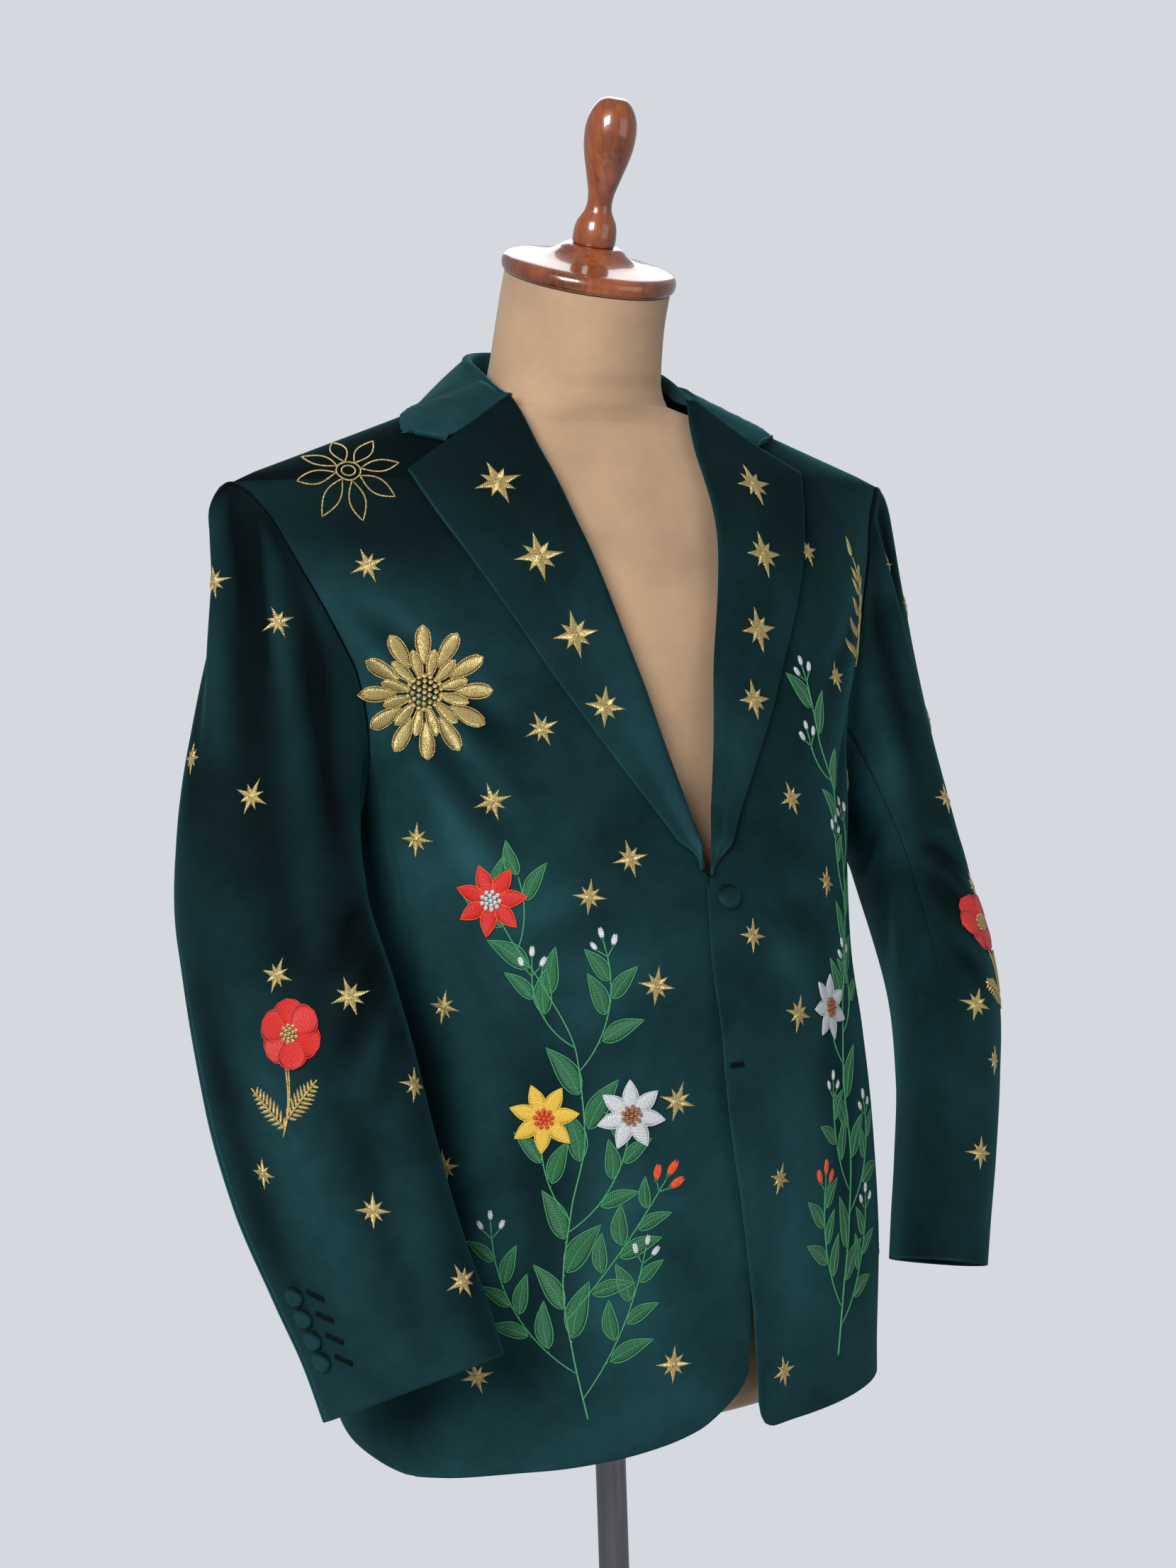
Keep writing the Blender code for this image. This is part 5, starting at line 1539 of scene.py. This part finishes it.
def gold_leaf(spot, start, angle, length, width):
    steps = shares(9)
    spine = set_down(start, angle, [(0, length * t) for t in steps])
    widths = [max(0.5 * width * leaf_width(t, 0.7), 0.0001) for t in steps]
    patch("gold", spot, spine, widths, 0.0010, mark=start[1] * 900)


def outline_rosette(spot, radius):
    """A line rosette of eight open petals round two rings, in gold cord."""
    cord = 0.00062
    widths = [radius * 0.15 * math.sin(math.pi * t) for t in shares(12)]
    for k in range(8):
        petal(None, "gold", spot, math.pi * k / 4, (radius * 0.24, radius), widths, cord=cord, lift=0.6)
    for reach in (0.23, 0.13):
        hoop = [turned(0, radius * reach, math.pi * k / 20) for k in range(40)]
        line("gold", spot, hoop, cord, closed=True)


# Vines on the fronts: distance from the centre and height of the stem's points, from the foot up
VINES = {
    -1: ((0.104, 0.842), (0.112, 0.885), (0.117, 0.930), (0.111, 0.980), (0.101, 1.030), (0.103, 1.080),
         (0.118, 1.125), (0.134, 1.158), (0.142, 1.182)),
    1: ((0.096, 0.850), (0.104, 0.890), (0.116, 0.935), (0.121, 0.985), (0.116, 1.035), (0.119, 1.085),
        (0.133, 1.130), (0.143, 1.180), (0.138, 1.230), (0.124, 1.275), (0.117, 1.315)),
}
# Side branches: how far up the stem, which way, length, bend, what they end in
BRANCHES = {
    -1: (
        (0.04, 1, 0.096, 0.20, "white buds"), (0.09, -1, 0.104, 0.50, "white buds"),
        (0.19, 1, 0.102, 0.06, "orange buds"),
        (0.34, 1, 0.086, 0.48, "white blossom"), (0.36, -1, 0.068, 0.48, "yellow blossom"),
        (0.60, 1, 0.076, 0.50, "white buds"), (0.64, -1, 0.054, 0.55, "white buds"),
        (0.84, 1, 0.046, 0.35, "leaf"),
    ),
    1: (
        (0.05, 1, 0.084, 0.50, "white buds"), (0.08, -1, 0.088, 0.40, "orange buds"),
        (0.22, 1, 0.070, 0.55, "white buds"), (0.25, -1, 0.072, 0.45, "white buds"),
        (0.43, -1, 0.044, 0.45, "white blossom"), (0.47, 1, 0.050, 0.55, "white buds"),
        (0.66, -1, 0.044, 0.50, "white buds"), (0.70, 1, 0.036, 0.50, "white buds"),
        (0.83, -1, 0.034, 0.50, "white buds"),
    ),
}
# Leaves of the vines: widths as shares of their lengths, lengths, turns and steps on the stem and on a branch
LEAF_WIDTHS = (0.34, 0.39)
STEM_LEAVES, STEM_TURNS, STEM_STEPS = (0.035, 0.042), (0.42, 0.62), (0.018, 0.023)
BRANCH_LEAVES, BRANCH_TURNS, BRANCH_STEP = (0.028, 0.034), (0.55, 0.75), 0.0125
# How far a branch turns from its stem
BRANCH_TURN = 0.85


def sew_vine(side, top):
    """A climbing vine with leaves and side branches; top is its blossom's threads, or None for buds."""
    luck = random.Random(5 + side)
    points = VINES[side]
    keyed = np.column_stack([np.linspace(0, 1, len(points)), np.array(points)])

    def on_stem(share):
        """The spot at a share of the stem's length, turned the way the stem grows."""
        at, ahead = ([look_up(keyed, s, k) for k in (1, 2)] for s in (share, min(share + 0.01, 1)))
        return body_spot(side, *at, math.atan2(-side * (ahead[0] - at[0]), ahead[1] - at[1]))

    placed = [on_stem(share).at(0, 0, 0.0004) for share in shares(120)]
    radii = [0.00064 - 0.00020 * share for share in shares(120)]
    THREADS["stem"].tube([p for p, _ in placed], radii, [n for _, n in placed])
    length = sum(math.dist(a, b) for a, b in zip(points, points[1:]))
    share, way = 0.03, 1
    while share < 0.97:
        size = luck.uniform(*STEM_LEAVES) * (1 - 0.18 * share)
        tilt, width = -way * luck.uniform(*STEM_TURNS), size * luck.uniform(*LEAF_WIDTHS)
        if not any(way == branch[1] and -0.025 < share - branch[0] < 0.045 for branch in BRANCHES[side]):
            leaf(on_stem(share), (0, 0), tilt, size, width)
        share += luck.uniform(*STEM_STEPS) / length
        way = -way
    for share, way, reach, bend, ending in BRANCHES[side]:
        spot = on_stem(share)
        path = [turned(0, reach * t, -way * (BRANCH_TURN - bend * t)) for t in shares(14)]
        line("stem", spot, path, 0.00048)
        count = int(reach / BRANCH_STEP)
        for i in range(2, count):
            t = i / count
            size = luck.uniform(*BRANCH_LEAVES) * (1.1 - 0.40 * t)
            tilt = -way * (BRANCH_TURN - 2 * bend * t) + (1 if i % 2 else -1) * luck.uniform(*BRANCH_TURNS)
            leaf(spot, path[int(t * 14)], tilt, size, size * luck.uniform(*LEAF_WIDTHS))
        finish_branch(spot, path[-1], -way * (BRANCH_TURN - 2 * bend), ending, luck)
    crown = body_spot(side, *points[-1], 0.1)
    if top:
        blossom(crown, 0.0245, 7, *top, 0.2)
    else:
        finish_branch(crown, (0.0, 0.0), 0.1, "white buds", luck)


def finish_branch(spot, end, turn, ending, luck):
    colour = ending.split()[0]
    if ending.endswith("buds"):
        size = 0.0075 if colour == "white" else 0.0105
        for spread, reach in ((-0.75, 0.008), (0.0, 0.012), (0.75, 0.008)):
            stalk = set_down(end, turn + spread, [(0, 0), (0, reach / 2), (0, reach)])
            line("stem", spot, stalk, 0.00042)
            bud(spot, stalk[-1], turn + spread * 0.6, size * luck.uniform(0.9, 1.1), colour)
    elif ending.endswith("blossom"):
        place = Spot(spot.ground, spot.at(*end)[0], spot.n, luck.uniform(0, 1))
        blossom(place, 0.0235, 7, colour, colour, "copper" if colour == "white" else "orange")
    else:
        leaf(spot, end, turn, 0.024, 0.009)


def sew_forearm(side, around, s):
    """A full red blossom on a double gold stem with two feathered gold leaves."""
    spot = sleeve_spot(side, around, s, 0.1 * side)
    blossom(spot, 0.0225, 6, "red", "red", "gold", 0.3, pointed=False)
    spot.base = 0.0
    for shift in (-0.0010, 0.0010):
        stem = [(0.004 * math.sin(3 * t) + shift * (1 - t), -0.019 - 0.046 * t) for t in shares(8)]
        line("gold", spot, stem, 0.0007, lift=0.8)
    feathered(spot, stem[-2], 0.95, 0.036, 0.0150)
    feathered(spot, stem[-3], -0.60, 0.034, 0.0145)


def feathered(spot, start, angle, length, width):
    """A gold leaf of slanted stitches on both sides of its midrib."""
    line("gold", spot, set_down(start, angle, [(0, length * t) for t in shares(8)]), 0.0007, lift=1.2)
    for k in range(1, 10):
        at = k / 10
        reach = 0.5 * width * (0.35 + 0.65 * leaf_width(at, 0.75)) * 1.25
        foot, = set_down(start, angle, [(0, length * (at - 0.06))])
        for way in (-1, 1):
            barb = set_down(foot, angle + way * 0.95, [(0, reach * t) for t in shares(4)])
            patch("gold", spot, barb, [0.0009, 0.0014, 0.0014, 0.0010, 0.0002], 0.0008, 4, k * 2.3)


def sew_buttonholes():
    """Four slanted buttonholes beside each row of cuff buttons, and a level one at the left front's edge."""
    for side in (1, -1):
        for z in CUFF_BUTTON_HEIGHTS:
            start = -side * 0.0115
            spot = sleeve_spot(side, CUFF_BUTTON_ANGLE, cuff_share(z))
            stitched_hole(spot, (start, 0.0044), (start - side * 0.0135, 0.0004))
    stitched_hole(body_spot(1, 0.0035, BUTTON_Z[1]), (0.0015, 0.0), (-0.0085, 0.0))


def stitched_hole(spot, start, end):
    du, dv = end[0] - start[0], end[1] - start[1]
    out = unit(np.array((-dv, du))) * 0.0009
    for way in (-1, 1):
        foot = start[0] + way * out[0], start[1] + way * out[1]
        line("dark", spot, [(foot[0] + du * t, foot[1] + dv * t) for t in shares(8)], 0.00085, lift=0.7)


# Near-black cord behind an armhole's seam, painted shade in the seam's gap: steps round it, how far it lies
# towards the armhole's middle, radius
ARMHOLE_SHADE_CORD = (180, 0.0042, 0.0030)


def shade_armhole_seams():
    """A near-black cord of painted shade inside each armhole, so that nothing shows through its seam."""
    steps, inward, radius = ARMHOLE_SHADE_CORD
    placed = [sleeve_start(2 * math.pi * k / steps) for k in range(steps)]
    path = [p + inward * unit(np.array((0, -p[1], ARM_Z - p[2]))) for p, _ in placed]
    for side in (1, -1):
        normals = [mirror(n, side) for _, n in placed]
        THREADS["dark"].tube([mirror(p, side) for p in path], [radius] * steps, normals, True)


def sew_all():
    sew_stars()
    rosette(body_spot(-1, 0.1700, 1.3180), 0.0440)
    spray(body_spot(1, 0.1950, 1.3640, 0.15), 0.0780)
    outline_rosette(body_spot(-1, 0.1960, 1.4655, 0.2), 0.0350)
    sew_vine(-1, ("red", "orange", "white"))
    sew_vine(1, None)
    sew_forearm(-1, 0.28, 0.565)
    sew_forearm(1, 0.95, 0.520)
    sew_buttonholes()
    shade_armhole_seams()
    for thread in THREADS.values():
        thread.build()


sew_all()


# Studio
FLOOR_RADIUS, FLOOR_Z, FLOOR_SIDES = 1.7, -0.0006, 96


def studio_floor():
    turns = [2 * math.pi * k / FLOOR_SIDES for k in range(FLOOR_SIDES)]
    verts = [(0, 0, FLOOR_Z)]
    verts += [(FLOOR_RADIUS * math.cos(t), FLOOR_RADIUS * math.sin(t), FLOOR_Z) for t in turns]
    faces = [(0, 1 + k, 1 + (k + 1) % FLOOR_SIDES) for k in range(FLOOR_SIDES)]
    made, shader, node, feed = nodes_of("studio floor")
    grain = node("TexNoise", [("Vector", node("TexCoord").outputs["Object"])], Scale=60.0, Detail=3.0)
    shade = ramp_of(node, grain.outputs[0], [(0.3, (0.60, 0.61, 0.63)), (0.7, (0.64, 0.65, 0.67))])
    feed("Base Color", shade)
    shader.inputs["Roughness"].default_value = 0.8
    new_mesh("studio_floor", verts, faces, made)


studio_floor()


def area_light(name, at, aim, size, power):
    data = bpy.data.lights.new(name, "AREA")
    data.size, data.energy = size, power
    obj = bpy.data.objects.new(name, data)
    bpy.context.scene.collection.objects.link(obj)
    obj.location = at
    obj.rotation_euler = (Vector(aim) - Vector(at)).to_track_quat("-Z", "Y").to_euler()


back = Vector((math.sin(AZIMUTH), -math.cos(AZIMUTH), 0))
right = Vector((math.cos(AZIMUTH), math.sin(AZIMUTH), 0))
eye = back * DISTANCE + Vector((0, 0, HEIGHT))
middle = Vector((0, 0, 1.2))
# Lights: name, towards the camera, to its right, up, size, power
for name, near, aside, up, size, power in (
    ("key", 2.1, -0.75, 0.9, 1.0, 60), ("fill", 1.4, 2.1, 0.2, 1.6, 9), ("rim", -1.8, 0.0, 1.6, 1.2, 10),
):
    area_light(name, middle + back * near + right * aside + Vector((0, 0, up)), middle, size, power)

world = bpy.data.worlds.new("studio")
bpy.context.scene.world = world
world.use_nodes = True
sky = world.node_tree.nodes["Background"]
sky.inputs["Color"].default_value = (0.665, 0.694, 0.737, 1)
seen = world.node_tree.nodes.new("ShaderNodeLightPath")
dim = world.node_tree.nodes.new("ShaderNodeMapRange")
dim.inputs["To Min"].default_value = 0.55
world.node_tree.links.new(seen.outputs["Is Camera Ray"], dim.inputs["Value"])
world.node_tree.links.new(dim.outputs[0], sky.inputs["Strength"])
bpy.context.scene.view_settings.view_transform = "Standard"


# Camera
def photo_camera():
    ahead = -back * math.cos(PITCH) + Vector((0, 0, math.sin(PITCH)))
    up = right.cross(ahead)
    turned_right = right * math.cos(ROLL_ANGLE) + up * math.sin(ROLL_ANGLE)
    turned_up = -right * math.sin(ROLL_ANGLE) + up * math.cos(ROLL_ANGLE)
    data = bpy.data.cameras.new("photo")
    data.sensor_fit, data.sensor_height, data.lens = "VERTICAL", 36, LENS
    obj = bpy.data.objects.new("photo", data)
    bpy.context.scene.collection.objects.link(obj)
    turn = Matrix((turned_right, turned_up, -ahead)).transposed().to_4x4()
    obj.matrix_world = Matrix.Translation(eye) @ turn
    bpy.context.scene.camera = obj


photo_camera()
